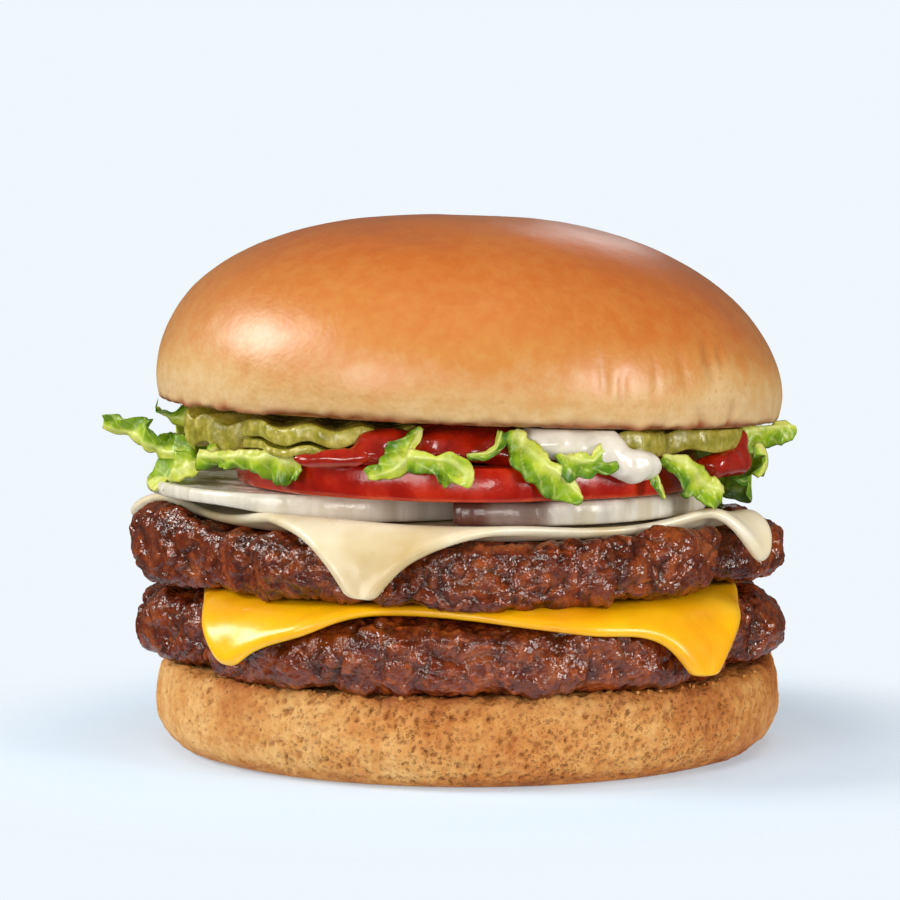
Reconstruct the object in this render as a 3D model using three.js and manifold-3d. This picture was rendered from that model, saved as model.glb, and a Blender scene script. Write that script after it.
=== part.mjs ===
// A double cheeseburger in a plain soft bun, every layer a solid of its own.
// From the base up: heel of the bun, beef patty, orange cheese, beef patty, white cheese, onion, tomato,
// torn lettuce, pickle chips, ketchup and mayonnaise, and the domed crown of the bun.
// Millimetres. +Z is up, -Y is the front, +X is to the right of someone facing the front.
// The origin is the centre of the heel's flat base.
import * as THREE from "three";
import { mergeVertices } from "three/addons/utils/BufferGeometryUtils.js";
import Module from "manifold-3d";

// ---------------------------------------------------------------- driving dimensions

const GAP = 0.3; // between one layer and the next
const ROOM = 0.45; // that a soft filling leaves around what it gives way to
const BUN_RADIUS = 52;

// Heights of the layers at the front of the burger.
const HEEL_TOP = 14.2;
const LOWER_PATTY_TOP = 26.2;
const CHEESE_THICKNESS = 1.6;
const UPPER_PATTY_BASE = LOWER_PATTY_TOP + CHEESE_THICKNESS + 2 * GAP;
const UPPER_PATTY_TOP = 37.2;
const ONION_BASE = UPPER_PATTY_TOP + CHEESE_THICKNESS + 2 * GAP;
const ONION_TOP = 43.6;
const TOMATO_TOP = 49.1;
const CROWN_BASE = 55.5;
const CROWN_HEIGHT = 32.3;
const CROWN_TILT = 2.2; // degrees, down to the right

// How finely each round piece is divided.
const HEEL_SEGMENTS = 50;
const CROWN_SEGMENTS = 48;
const PATTY_SEGMENTS = 58;
const SLICE_SEGMENTS = 36;
const CHEESE_CELLS = 13; // along each side of a slice

const degrees = THREE.MathUtils.degToRad;

// The upper patty is thicker at the back and on the left, and what lies on it leans with it.
function lean(x, y) {
  return 0.02 * (y + 48) - 0.008 * x;
}

// ---------------------------------------------------------------- smooth noise

// A repeatable number from -1 to 1 for each point of a lattice.
function lattice(ix, iy, iz) {
  let h = Math.imul(ix, 374761393) + Math.imul(iy, 668265263) + Math.imul(iz, 1442695041);
  h = Math.imul(h ^ (h >>> 13), 1274126177);
  h = (h ^ (h >>> 16)) >>> 0;
  return (h / 4294967295) * 2 - 1;
}

// The lattice blended smoothly between its points, one unit apart.
function noise(x, y, z) {
  const cell = [x, y, z].map(Math.floor);
  const fade = [x - cell[0], y - cell[1], z - cell[2]].map((t) => t * t * (3 - 2 * t));
  let sum = 0;
  for (let corner = 0; corner < 8; corner++) {
    const step = [corner & 1, (corner >> 1) & 1, corner >> 2];
    const weight = step.reduce((w, s, k) => w * (s ? fade[k] : 1 - fade[k]), 1);
    sum += weight * lattice(cell[0] + step[0], cell[1] + step[1], cell[2] + step[2]);
  }
  return sum;
}

function smoothstep(low, high, x) {
  const t = Math.min(Math.max((x - low) / (high - low), 0), 1);
  return t * t * (3 - 2 * t);
}

// ---------------------------------------------------------------- closed geometry

// Merges a geometry's shared vertices, drops its collapsed triangles and turns its faces outwards.
function closed(geometry) {
  geometry.deleteAttribute("normal");
  geometry.deleteAttribute("uv");
  const merged = mergeVertices(geometry, 1e-4);
  const position = merged.getAttribute("position");
  const corners = [new THREE.Vector3(), new THREE.Vector3(), new THREE.Vector3()];
  const kept = [];
  let volume = 0;
  for (let i = 0; i < merged.index.count; i += 3) {
    const face = [0, 1, 2].map((k) => merged.index.getX(i + k));
    if (new Set(face).size < 3) continue;
    kept.push(face);
    face.forEach((v, k) => corners[k].fromBufferAttribute(position, v));
    volume += corners[0].dot(corners[1].clone().cross(corners[2])) / 6;
  }
  merged.setIndex(kept.flatMap(([a, b, c]) => (volume < 0 ? [a, c, b] : [a, b, c])));
  return merged;
}

// Moves every vertex of a geometry: move(point) changes the point in place.
function relief(geometry, move) {
  const position = geometry.getAttribute("position");
  const point = new THREE.Vector3();
  for (let i = 0; i < position.count; i++) {
    move(point.fromBufferAttribute(position, i));
    position.setXYZ(i, point.x, point.y, point.z);
  }
  return geometry;
}

// A solid turned about Z from half its outline, a list of [radius, height] from the axis to the axis.
function turned(outline, segments) {
  const points = outline.map(([radius, height]) => new THREE.Vector2(radius, height));
  return closed(new THREE.LatheGeometry(points, segments).rotateX(Math.PI / 2));
}

// A thin solid whose middle is middle(u, v), with u and v from 0 to 1, and both faces divided alike.
// It is thickened across itself, or along `direction` where one is given.
function sheet(middle, columns, rows, thickness, direction = null) {
  const points = [];
  for (let j = 0; j <= rows; j++)
    for (let i = 0; i <= columns; i++) points.push(middle(i / columns, j / rows));
  const at = (i, j) => points[j * (columns + 1) + i];
  const across = (i, j) => {
    if (direction) return direction.clone().setLength(thickness / 2);
    const along = at(Math.min(i + 1, columns), j).clone().sub(at(Math.max(i - 1, 0), j));
    const up = at(i, Math.min(j + 1, rows)).clone().sub(at(i, Math.max(j - 1, 0)));
    return along.cross(up).setLength(thickness / 2);
  };
  const side = points.length;
  const positions = new Float32Array(side * 6);
  for (let j = 0; j <= rows; j++)
    for (let i = 0; i <= columns; i++) {
      const k = j * (columns + 1) + i;
      const half = across(i, j);
      at(i, j).clone().add(half).toArray(positions, 3 * k);
      at(i, j).clone().sub(half).toArray(positions, 3 * (side + k));
    }
  const faces = [];
  for (let j = 0; j < rows; j++)
    for (let i = 0; i < columns; i++) {
      const a = j * (columns + 1) + i;
      const [b, c, d] = [a + 1, a + columns + 2, a + columns + 1];
      faces.push(a, b, c, a, c, d);
      faces.push(side + a, side + c, side + b, side + a, side + d, side + c);
    }
  const rim = (a, b) => faces.push(b, a, side + a, b, side + a, side + b);
  const last = rows * (columns + 1);
  for (let i = 0; i < columns; i++) {
    rim(i, i + 1);
    rim(last + i + 1, last + i);
  }
  for (let j = 0; j < rows; j++) {
    const start = j * (columns + 1);
    rim(start + columns + 1, start);
    rim(start + columns, start + 2 * columns + 1);
  }
  const geometry = new THREE.BufferGeometry();
  geometry.setAttribute("position", new THREE.BufferAttribute(positions, 3));
  geometry.setIndex(faces);
  return closed(geometry);
}

// A square from -1 to 1 pressed into the unit disc, its sides onto the disc's rim.
function disc(x, y) {
  return [x * Math.sqrt(1 - (y * y) / 2), y * Math.sqrt(1 - (x * x) / 2)];
}

// ---------------------------------------------------------------- cutting and joining

const wasm = await Module();
wasm.setup();

function solidOf(geometry) {
  return new wasm.Manifold(
    new wasm.Mesh({
      numProp: 3,
      vertProperties: new Float32Array(geometry.getAttribute("position").array),
      triVerts: new Uint32Array(geometry.index.array),
    }),
  );
}

function geometryOf(solid) {
  const mesh = solid.getMesh();
  const geometry = new THREE.BufferGeometry();
  geometry.setAttribute("position", new THREE.BufferAttribute(mesh.vertProperties, 3));
  geometry.setIndex(new THREE.BufferAttribute(mesh.triVerts, 1));
  return geometry;
}

function largestPiece(solid) {
  return solid.decompose().sort((a, b) => b.volume() - a.volume())[0];
}

// The largest piece that is left of a geometry once the cutters are taken away, without its slivers.
function trimmed(geometry, cutters) {
  let solid = solidOf(geometry);
  for (const cutter of cutters) solid = solid.subtract(solidOf(cutter));
  const piece = mergeVertices(geometryOf(largestPiece(solid).simplify(0.02)), 2e-3);
  return geometryOf(largestPiece(solidOf(piece)));
}

function joined(geometries) {
  return geometryOf(geometries.map(solidOf).reduce((sum, solid) => sum.add(solid)).simplify(0.1));
}

// ---------------------------------------------------------------- bun

const HEEL_ROUND = { width: 6, height: 7.5, steps: 4 }; // of the rounded lower edge
const HEEL_SHOULDER = { drop: 1.8, inset: 0.5 }; // where the side turns in to the cut top
const CUT_INSET = 1.5; // of the heel's cut top from its widest
const HEEL_SWELL = { depth: 0.5, size: 16, seed: 7 }; // unevenness of its side

// The heel: a flat base, a rounded lower edge and a nearly upright side.
function heel() {
  const { width, height, steps } = HEEL_ROUND;
  const baseRadius = BUN_RADIUS - width;
  const outline = [
    [0, 0],
    [baseRadius, 0],
  ];
  for (let i = 1; i <= steps; i++) {
    const angle = (i / steps) * (Math.PI / 2);
    outline.push([baseRadius + width * Math.sin(angle), height * (1 - Math.cos(angle))]);
  }
  outline.push([BUN_RADIUS - HEEL_SHOULDER.inset, HEEL_TOP - HEEL_SHOULDER.drop]);
  outline.push([BUN_RADIUS - CUT_INSET, HEEL_TOP]);
  outline.push([0, HEEL_TOP]);
  return relief(turned(outline, HEEL_SEGMENTS), (p) => {
    const radius = Math.hypot(p.x, p.y);
    if (p.z <= 0 || radius < baseRadius) return;
    const { depth, size, seed } = HEEL_SWELL;
    const swell = 1 + (depth * noise(p.x / size, p.y / size, seed)) / radius;
    p.x *= swell;
    p.y *= swell;
  });
}

const CROWN_SIDE = 4; // height of the widest ring
const CROWN_LIP = 1.2; // of the rounded edge of the crown's cut underside
const DOME_RINGS = 8;
const DOME_FULLNESS = 2.4; // the higher, the squarer the dome's shoulders
const CROWN_SWELL = { share: 0.006, size: 30, seed: 3 }; // unevenness of the dome

// The crown's radius at a height in its dome, which is a little fuller on the left.
function crownRadiusAt(height, azimuth) {
  const share = (height - CROWN_SIDE) / (CROWN_HEIGHT - CROWN_SIDE);
  const fullness = 2 - 0.2 * Math.cos(azimuth);
  return BUN_RADIUS * (1 - share ** fullness) ** (1 / DOME_FULLNESS);
}

// The crown before it is tilted: a flat underside at z = 0, an upright lower side and the dome.
function crown() {
  const outline = [
    [0, 0],
    [BUN_RADIUS - CROWN_LIP, 0],
    [BUN_RADIUS - CROWN_LIP / 3, CROWN_LIP],
  ];
  for (let i = 0; i < DOME_RINGS; i++) {
    const share = Math.sin(((i / DOME_RINGS) * Math.PI) / 2);
    outline.push([BUN_RADIUS, CROWN_SIDE + (CROWN_HEIGHT - CROWN_SIDE) * share]);
  }
  outline.push([0, CROWN_HEIGHT]);
  return relief(turned(outline, CROWN_SEGMENTS), (p) => {
    const radius = Math.hypot(p.x, p.y);
    if (p.z <= 0 || radius === 0) return;
    const fitted = p.z < CROWN_SIDE ? radius : crownRadiusAt(p.z, Math.atan2(p.y, p.x));
    const { share, size, seed } = CROWN_SWELL;
    const swell = (fitted / radius) * (1 + share * noise(p.x / size, p.y / size, seed + p.z / size));
    p.x *= swell;
    p.y *= swell;
  });
}

function placedCrown(drop = 0) {
  return crown().rotateY(degrees(CROWN_TILT)).translate(0, 0, CROWN_BASE - drop);
}

// ---------------------------------------------------------------- beef patties

const PATTY_RADIUS = 51;
const PATTY_EDGE = 5.5; // how far in from the rim the rounded side begins
const PATTY_FLAT = 0.9; // share of the flat faces that is undivided
const PATTY_STEPS = 5; // up the rounded side
const CRAG = 0.9; // depth of the crags in the side
const CRAG_SIZE = 5;
const DENT = { share: 0.05, size: 7 }; // hollows in the two faces
const RISE_START = 47; // radius at which the upper face begins to rise to the rim
const SAG_START = 46.5; // radius at which the lower face begins to sag

// Each patty's rim, in degrees and millimetres. `lobes` are [azimuth, half width, reach], a negative reach
// being a crease. `rises` of the upper edge and `sags` of the lower one are [azimuth, half width, height].
// The face of one that `leans` by 1 slopes as what lies on it does.
const PATTIES = {
  patty_lower: {
    base: HEEL_TOP + GAP,
    top: LOWER_PATTY_TOP,
    leans: 0,
    seed: 11,
    lobes: [
      [-30, 6, -3],
      [-2, 15, 1.6],
      [75, 20, 1.2],
      [120, 9, -2],
      [181, 13, 4.2],
      [207, 7, -3],
      [245, 16, 1.2],
      [297, 20, 1.4],
    ],
    rises: [
      [-6, 16, -1.8],
      [186, 16, 0.4],
    ],
    sags: [
      [222, 14, 0.9],
      [270, 60, 0.5],
    ],
  },
  patty_upper: {
    base: UPPER_PATTY_BASE,
    top: UPPER_PATTY_TOP,
    leans: 1,
    seed: 29,
    lobes: [
      [-33, 6, -4],
      [-5, 14, 1.6],
      [60, 9, -2],
      [105, 22, 1.4],
      [190, 15, 5],
      [214, 7, -1.5],
      [236, 13, 1.4],
      [300, 22, 1.6],
    ],
    rises: [
      [40, 20, 1.2],
      [207, 25, 3],
      [251, 25, 2],
      [298, 22, 2.8],
      [325, 14, 2.4],
    ],
    sags: [
      [225, 24, 1.2],
      [250, 50, 0.6],
      [276, 20, 1.9],
    ],
  },
};

// How far an azimuth is round from another, from -180 to 180 degrees.
function aside(azimuth, from) {
  return THREE.MathUtils.euclideanModulo(azimuth - from + 180, 360) - 180;
}

// The sum of the bumps of a list in one direction, in degrees.
function bumps(list, azimuth) {
  return list.reduce((sum, [centre, width, height]) => {
    return sum + height * Math.exp(-((aside(azimuth, centre) / width) ** 2));
  }, 0);
}

function azimuthOf(x, y) {
  return THREE.MathUtils.radToDeg(Math.atan2(y, x));
}

// How far a patty's lower edge sags over the rim of what is below it.
function sag(spec, x, y) {
  return bumps(spec.sags, azimuthOf(x, y)) * smoothstep(SAG_START, BUN_RADIUS, Math.hypot(x, y));
}

// The upper face of a patty above or below its nominal height. Its rises begin at the radius `start`.
function faceShift(spec, x, y, start = RISE_START) {
  const rise = bumps(spec.rises, azimuthOf(x, y)) * smoothstep(start, PATTY_RADIUS, Math.hypot(x, y));
  return spec.leans * lean(x, y) + rise;
}

// A patty: a disc whose side is round above and fuller below, pushed out into lobes and crags.
function patty(spec) {
  const height = spec.top - spec.base;
  const middle = (spec.base + spec.top) / 2;
  const inner = PATTY_RADIUS - PATTY_EDGE;
  const outline = [
    [0, spec.base],
    [inner * PATTY_FLAT, spec.base],
  ];
  for (let i = 0; i <= PATTY_STEPS; i++) {
    const angle = ((i / PATTY_STEPS) * 2 - 1) * (Math.PI / 2);
    const rise = Math.sign(angle) * Math.abs(Math.sin(angle)) ** 0.7;
    const fullness = angle > 0 ? 1 : 0.5;
    outline.push([inner + PATTY_EDGE * Math.cos(angle) ** fullness, middle + (height / 2) * rise]);
  }
  outline.push([inner * PATTY_FLAT, spec.top]);
  outline.push([0, spec.top]);
  return relief(turned(outline, PATTY_SEGMENTS), (p) => {
    const radius = Math.hypot(p.x, p.y);
    if (radius < 1) return;
    const outward = radius / PATTY_RADIUS;
    const spread = bumps(spec.lobes, azimuthOf(p.x, p.y));
    const crag = CRAG * noise(p.x / CRAG_SIZE, p.y / CRAG_SIZE, p.z / CRAG_SIZE + spec.seed);
    const swell = 1 + (spread * outward ** 3 + crag * smoothstep(0.8, 1, outward)) / radius;
    const dent = DENT.share * (1 + noise(p.x / DENT.size, p.y / DENT.size, spec.seed));
    p.z = middle + (p.z - middle) * (1 - dent);
    p.x *= swell;
    p.y *= swell;
    const share = (p.z - spec.base) / height;
    p.z += faceShift(spec, p.x, p.y) * share - sag(spec, p.x, p.y) * (1 - share);
  });
}

// ---------------------------------------------------------------- cheese

// Square slices turned about Z by `turn` degrees, their corners melted round by `corner` and flat where they
// would reach past `cut`. The front left corner lies in by `tuck`.
// `flows` are [x, half width, reach] where the front edge has run forward or lags behind.
// `stretches` are [azimuth, half width, reach] of corners drawn out by their own weight.
// `tips` are [azimuth, share] of corners that narrow as they hang, and `slack` holds the fold out from the rim.
const CHEESES = {
  cheese_orange: {
    patty: "patty_lower",
    half: 43.3,
    centre: [0.7, -4.4],
    turn: -2.6,
    corner: 4,
    cut: 62.3,
    tuck: 2.5,
    flows: [
      [-25, 8, 2.4],
      [14, 18, 4.2],
      [30, 7, -2.2],
    ],
    stretches: [],
    slack: 0.4,
    ripple: 0.4,
    seed: 5,
    tips: [],
  },
  cheese_white: {
    patty: "patty_upper",
    half: 38.5,
    centre: [-3.2, -11.4],
    turn: 27.4,
    corner: 3,
    cut: 62.6,
    tuck: 0,
    flows: [],
    stretches: [
      [174, 14, 3],
      [330, 9, 3.6],
    ],
    slack: 1.5,
    ripple: 0.6,
    seed: 8,
    tips: [
      [254, 0.4],
      [322, 0.6],
    ],
  },
};
const BEND_RADIUS = PATTY_EDGE + CRAG + CHEESE_THICKNESS / 2 + 1.4; // of the fold over a patty's rim
const HANG = degrees(80); // how steeply a corner hangs
const CREASE_SHARE = 0.5; // of a patty's creases that the fold follows
const PULL_REACH = 35; // degrees to each side of a tip within which it narrows
const RIPPLE_SIZE = 9;

// Where a point of the flat slice comes to lie: on its patty, bent over the rim or hanging beside it.
function draped(x, y, spec) {
  const under = PATTIES[spec.patty];
  const followed = under.lobes.map(([centre, width, reach]) => {
    return [centre, width, Math.max(reach, CREASE_SHARE * reach)];
  });
  const shoulderAt = (azimuth) => PATTY_RADIUS - PATTY_EDGE + bumps(followed, azimuth) + spec.slack;
  let azimuth = azimuthOf(x, y);
  let radius = Math.hypot(x, y);
  radius += bumps(spec.stretches, azimuth) * smoothstep(44, 54, radius);
  for (const [tip, share] of spec.tips) {
    const away = aside(azimuth, tip);
    const narrowing = share * smoothstep(0, 12, radius - shoulderAt(azimuth));
    if (Math.abs(away) < PULL_REACH) azimuth -= away * narrowing;
  }
  const shoulder = shoulderAt(azimuth);
  const over = Math.max(radius - shoulder, 0);
  const angle = Math.min(over / BEND_RADIUS, HANG);
  const straight = over - BEND_RADIUS * angle;
  let out = Math.min(radius, shoulder) + BEND_RADIUS * Math.sin(angle) + straight * Math.cos(HANG);
  out += spec.ripple * smoothstep(2, 9, over) * (1 + noise(x / RIPPLE_SIZE, y / RIPPLE_SIZE, spec.seed));
  const down = BEND_RADIUS * (1 - Math.cos(angle)) + straight * Math.sin(HANG);
  const point = new THREE.Vector3(out * Math.cos(degrees(azimuth)), out * Math.sin(degrees(azimuth)), 0);
  const lift = faceShift(under, point.x, point.y, RISE_START - 2);
  point.z = under.top + GAP + CHEESE_THICKNESS / 2 - down + lift;
  return point;
}

// Where a point of a slice's square, in it from -1 to 1 each way, is once the flat slice has melted.
function melted(across, along, spec) {
  const { half, corner } = spec;
  let [x, y] = [across * half, along * half];
  const [beyondX, beyondY] = [Math.abs(x) - (half - corner), Math.abs(y) - (half - corner)];
  if (beyondX > 0 && beyondY > 0) {
    const shrink = Math.max(beyondX, beyondY) / Math.hypot(beyondX, beyondY);
    x = Math.sign(x) * (half - corner + beyondX * shrink);
    y = Math.sign(y) * (half - corner + beyondY * shrink);
  }
  const towardsFront = (1 - along) / 2;
  for (const [centre, width, reach] of spec.flows) {
    y -= reach * towardsFront * Math.exp(-(((x - centre) / width) ** 2));
  }
  x += spec.tuck * smoothstep(5, 40, -y) * Math.max(-across, 0);
  const turn = degrees(spec.turn);
  const flatX = spec.centre[0] + x * Math.cos(turn) - y * Math.sin(turn);
  const flatY = spec.centre[1] + x * Math.sin(turn) + y * Math.cos(turn);
  const limit = flatY < -30 ? Math.min(1, spec.cut / Math.hypot(flatX, flatY)) : 1;
  return [flatX * limit, flatY * limit];
}

// A draped slice, its cells closer together near the edges.
function cheese(spec) {
  const spaced = (t) => Math.sign(t - 0.5) * Math.abs(2 * t - 1) ** 0.7;
  const place = (u, v) => draped(...melted(spaced(u), spaced(v), spec), spec);
  return sheet(place, CHEESE_CELLS, CHEESE_CELLS, CHEESE_THICKNESS);
}

// ---------------------------------------------------------------- onion and tomato

const RIM_BULGE = 0.2;
const WOBBLE_SIZE = 18; // from one swelling of a slice's rim to the next

// A flat round slice with a slightly bulging rim, whose underside rises by `lift` towards the left.
function slice({ centre, radius, base, top, lift, wobble, seed }) {
  const edge = (top - base) / 5;
  const outline = [
    [0, base],
    [radius - edge, base],
    [radius, base + edge],
    [radius + RIM_BULGE, (base + top) / 2],
    [radius, top - edge],
    [radius - edge, top],
    [0, top],
  ];
  return relief(turned(outline, SLICE_SEGMENTS), (p) => {
    const swell = 1 + (wobble * noise(p.x / WOBBLE_SIZE, p.y / WOBBLE_SIZE, seed)) / radius;
    p.x = centre[0] + p.x * swell;
    p.y = centre[1] + p.y * swell;
    p.z += lift * smoothstep(20, 42, -p.x) * ((top - p.z) / (top - base)) + lean(p.x, p.y);
  });
}

const ONION = {
  centre: [-20, -5.4],
  radius: 33,
  base: ONION_BASE,
  top: ONION_TOP,
  lift: 2,
  wobble: 0.8,
  seed: 41,
};
const TOMATO = {
  centre: [0, -12],
  radius: 38,
  base: ONION_TOP + GAP,
  top: TOMATO_TOP,
  lift: 0,
  wobble: 1.2,
  seed: 17,
};
const ONION_ARC = { centre: [2, -9], inner: 34, outer: 37.6, from: -97, to: 62 };

// A broken ring of onion: a square section bent round, standing beside the slice.
function onionArc() {
  const { centre, inner, outer, from, to } = ONION_ARC;
  return sheet(
    (u, v) => {
      const azimuth = degrees(from + (to - from) * u);
      const height = THREE.MathUtils.lerp(ONION_BASE + 1, ONION_TOP, v);
      const radius = (inner + outer) / 2;
      const x = centre[0] + radius * Math.cos(azimuth);
      const y = centre[1] + radius * Math.sin(azimuth);
      return new THREE.Vector3(x, y, height + lean(x, y));
    },
    20,
    1,
    outer - inner,
  );
}

// ---------------------------------------------------------------- pickle chips

const CRINKLE = 8; // from one ridge of a crinkle cut to the next

// Chips, in the order in which each presses into the ones before it. `grooves` is the way their ridges run and
// `tilt` is [towards the front, to the left], both in degrees. `wave` is half the height of a ridge.
const PICKLES = {
  pickle_front_left: {
    at: [-18.5, -29, 53.75],
    radius: 17,
    thickness: 2.6,
    grooves: 92,
    phase: 0.4,
    tilt: [1.2, 1.2],
    wave: 0.5,
  },
  pickle_under: {
    at: [-18.5, -29.6, 51.25],
    radius: 16.6,
    thickness: 1.3,
    grooves: 92,
    phase: 0.4,
    tilt: [1.2, 1.2],
    wave: 0.5,
  },
  pickle_left: {
    at: [-32.5, -11, 53.1],
    radius: 14,
    thickness: 4.6,
    grooves: 35,
    phase: 0,
    tilt: [5, 3],
    wave: 0.7,
  },
  pickle_right: {
    at: [30, -18, 52],
    radius: 14,
    thickness: 3.6,
    grooves: 70,
    phase: 1.2,
    tilt: [1, -2],
    wave: 0.5,
  },
  pickle_front_right: {
    at: [19, -31, 51.8],
    radius: 12,
    thickness: 3.8,
    grooves: 80,
    phase: 2.2,
    tilt: [1, -2],
    wave: 0.5,
  },
  pickle_back: {
    at: [6, 22, 53],
    radius: 18,
    thickness: 2.8,
    grooves: 20,
    phase: 0,
    tilt: [1, -2],
    wave: 0.5,
  },
};

// A crinkle-cut chip, grown on every side by `grow`.
function pickle(spec, grow = 0) {
  const radius = spec.radius + grow;
  const across = degrees(spec.grooves - 90);
  const [forward, left] = spec.tilt.map(degrees);
  const chip = sheet(
    (u, v) => {
      const [x, y] = disc(2 * u - 1, 2 * v - 1);
      const z = spec.wave * Math.sin(((x * radius) / CRINKLE) * 2 * Math.PI + spec.phase);
      return new THREE.Vector3(x * radius, y * radius, z);
    },
    12,
    4,
    spec.thickness + 2 * grow,
    new THREE.Vector3(0, 0, 1),
  );
  return chip.rotateZ(across).rotateX(forward).rotateY(left).translate(...spec.at);
}

// ---------------------------------------------------------------- lettuce

const LEAF_THICKNESS = 0.7;

// Torn strips of leaf. `spine` is a list of [x, y, z, width] from one end to the other. The strip faces
// outwards, rolled about its spine by `roll` degrees, and its margin ripples `waves` times by `frill`.
const LEAVES = {
  lettuce_left: {
    spine: [
      [-44, -15, 50, 4.5],
      [-49.5, -14, 50, 4.5],
      [-52, -12, 51.4, 4],
      [-55.5, -9, 52.6, 3.4],
      [-60, -6, 53.6, 1.2],
    ],
    roll: 10,
    waves: 2.2,
    frill: 0.9,
    phase: 0.4,
  },
  lettuce_left_top: {
    spine: [
      [-45, -5, 54.6, 3],
      [-49, -4, 54.7, 4],
      [-52, -3, 56, 1.4],
    ],
    roll: -20,
    waves: 1,
    frill: 0.7,
    phase: 2,
  },
  lettuce_left_curl: {
    spine: [
      [-40, -22, 50.2, 3],
      [-44.5, -22.5, 48.6, 4.5],
      [-48, -19.5, 46.2, 4.4],
      [-51.5, -14, 44.6, 1.4],
    ],
    roll: 14,
    waves: 2,
    frill: 0.9,
    phase: 1,
  },
  lettuce_front_left: {
    spine: [
      [-43, -25, 48.6, 2.2],
      [-37.5, -32, 49, 2.6],
      [-32.5, -37, 49, 2.8],
      [-28.5, -40.2, 48.6, 3.2],
      [-25.5, -42, 47.8, 1.4],
    ],
    roll: 0,
    waves: 4,
    frill: 0.6,
    phase: 0.8,
  },
  lettuce_front_rib: {
    spine: [
      [-7.5, -47, 55.2, 2],
      [-9, -47.8, 53, 2.6],
      [-10.5, -48.5, 50.8, 4],
      [-13, -49, 48.9, 3],
      [-15.5, -48.4, 48, 1],
    ],
    roll: 0,
    waves: 1.6,
    frill: 0.6,
    phase: 2.4,
  },
  lettuce_front_curl: {
    spine: [
      [-9.5, -50.4, 50.2, 2.6],
      [-6.5, -50.9, 50, 3],
      [-3.8, -51.4, 49.4, 3.6],
      [-1.6, -51.6, 48, 3.4],
      [-2, -51.6, 46.8, 1.4],
    ],
    roll: 0,
    waves: 1.5,
    frill: 0.5,
    phase: 3.6,
  },
  lettuce_front_shred: {
    spine: [
      [-0.5, -49.6, 50.6, 2.2],
      [2.5, -49.2, 51, 1.6],
      [4.2, -48.6, 52.2, 1.6],
      [5, -47.5, 54.4, 1.6],
    ],
    roll: 0,
    waves: 1,
    frill: 0.4,
    phase: 0.2,
  },
  lettuce_front: {
    spine: [
      [6.3, -47.5, 54.6, 2.4],
      [7.4, -48.9, 52, 4.2],
      [9.8, -50.2, 49.4, 4.4],
      [13.5, -49.8, 46.8, 3.6],
      [16.8, -48.4, 44, 1],
    ],
    roll: 0,
    waves: 1.8,
    frill: 0.7,
    phase: 1.4,
  },
  lettuce_front_inner: {
    spine: [
      [13, -48, 50.8, 2.4],
      [15.6, -49, 49.4, 5],
      [19, -47.6, 49.6, 4.2],
      [21.6, -45, 52, 1.4],
    ],
    roll: 0,
    waves: 1.3,
    frill: 0.6,
    phase: 0,
  },
  lettuce_front_bit: {
    spine: [
      [27.6, -40.4, 49, 2.6],
      [28.6, -41.2, 46, 2.2],
      [29.6, -41.4, 43.6, 1],
    ],
    roll: 0,
    waves: 1,
    frill: 0.4,
    phase: 0,
  },
  lettuce_front_right: {
    spine: [
      [29.8, -38.6, 50, 2.2],
      [32.6, -37.6, 48.2, 3.6],
      [35.2, -35.8, 45.8, 4],
      [37.6, -33.6, 44, 3.6],
      [40, -31, 43.4, 1.4],
    ],
    roll: 0,
    waves: 2,
    frill: 0.7,
    phase: 2.9,
  },
  lettuce_right: {
    spine: [
      [40, -14, 51.4, 4.4],
      [44, -15, 51.2, 5],
      [47.5, -12.5, 51.6, 5],
      [50.5, -10, 52.2, 2.8],
      [54, -8, 52.2, 1.2],
    ],
    roll: -8,
    waves: 2.2,
    frill: 0.7,
    phase: 0.9,
  },
  lettuce_right_tail: {
    spine: [
      [46, -19, 50.6, 3],
      [47.4, -18.6, 48.6, 3.4],
      [46, -20, 45.6, 1.2],
    ],
    roll: 0,
    waves: 1,
    frill: 0.5,
    phase: 1.9,
  },
  lettuce_back_right: {
    spine: [
      [48, -2, 47, 5],
      [46.5, 9, 46.6, 11],
      [41, 19, 47, 12.4],
      [33, 28, 47.2, 11],
      [25, 34, 48.6, 5],
    ],
    roll: 8,
    waves: 4.6,
    frill: 1.6,
    phase: 0.5,
  },
  lettuce_back: {
    spine: [
      [21, 37, 48.4, 5],
      [11, 41, 47.6, 11],
      [0, 42.5, 47.8, 12],
      [-10, 41, 48, 11],
      [-20, 37.5, 48.8, 5],
    ],
    roll: 8,
    waves: 4.2,
    frill: 1.7,
    phase: 2.2,
  },
  lettuce_back_left: {
    spine: [
      [-25, 34, 49, 5],
      [-33, 28.5, 48.2, 11],
      [-41, 20, 48, 12],
      [-46, 10, 48.4, 10],
      [-48.5, 1, 50, 4.6],
    ],
    roll: 8,
    waves: 4.4,
    frill: 1.6,
    phase: 4,
  },
};

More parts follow.
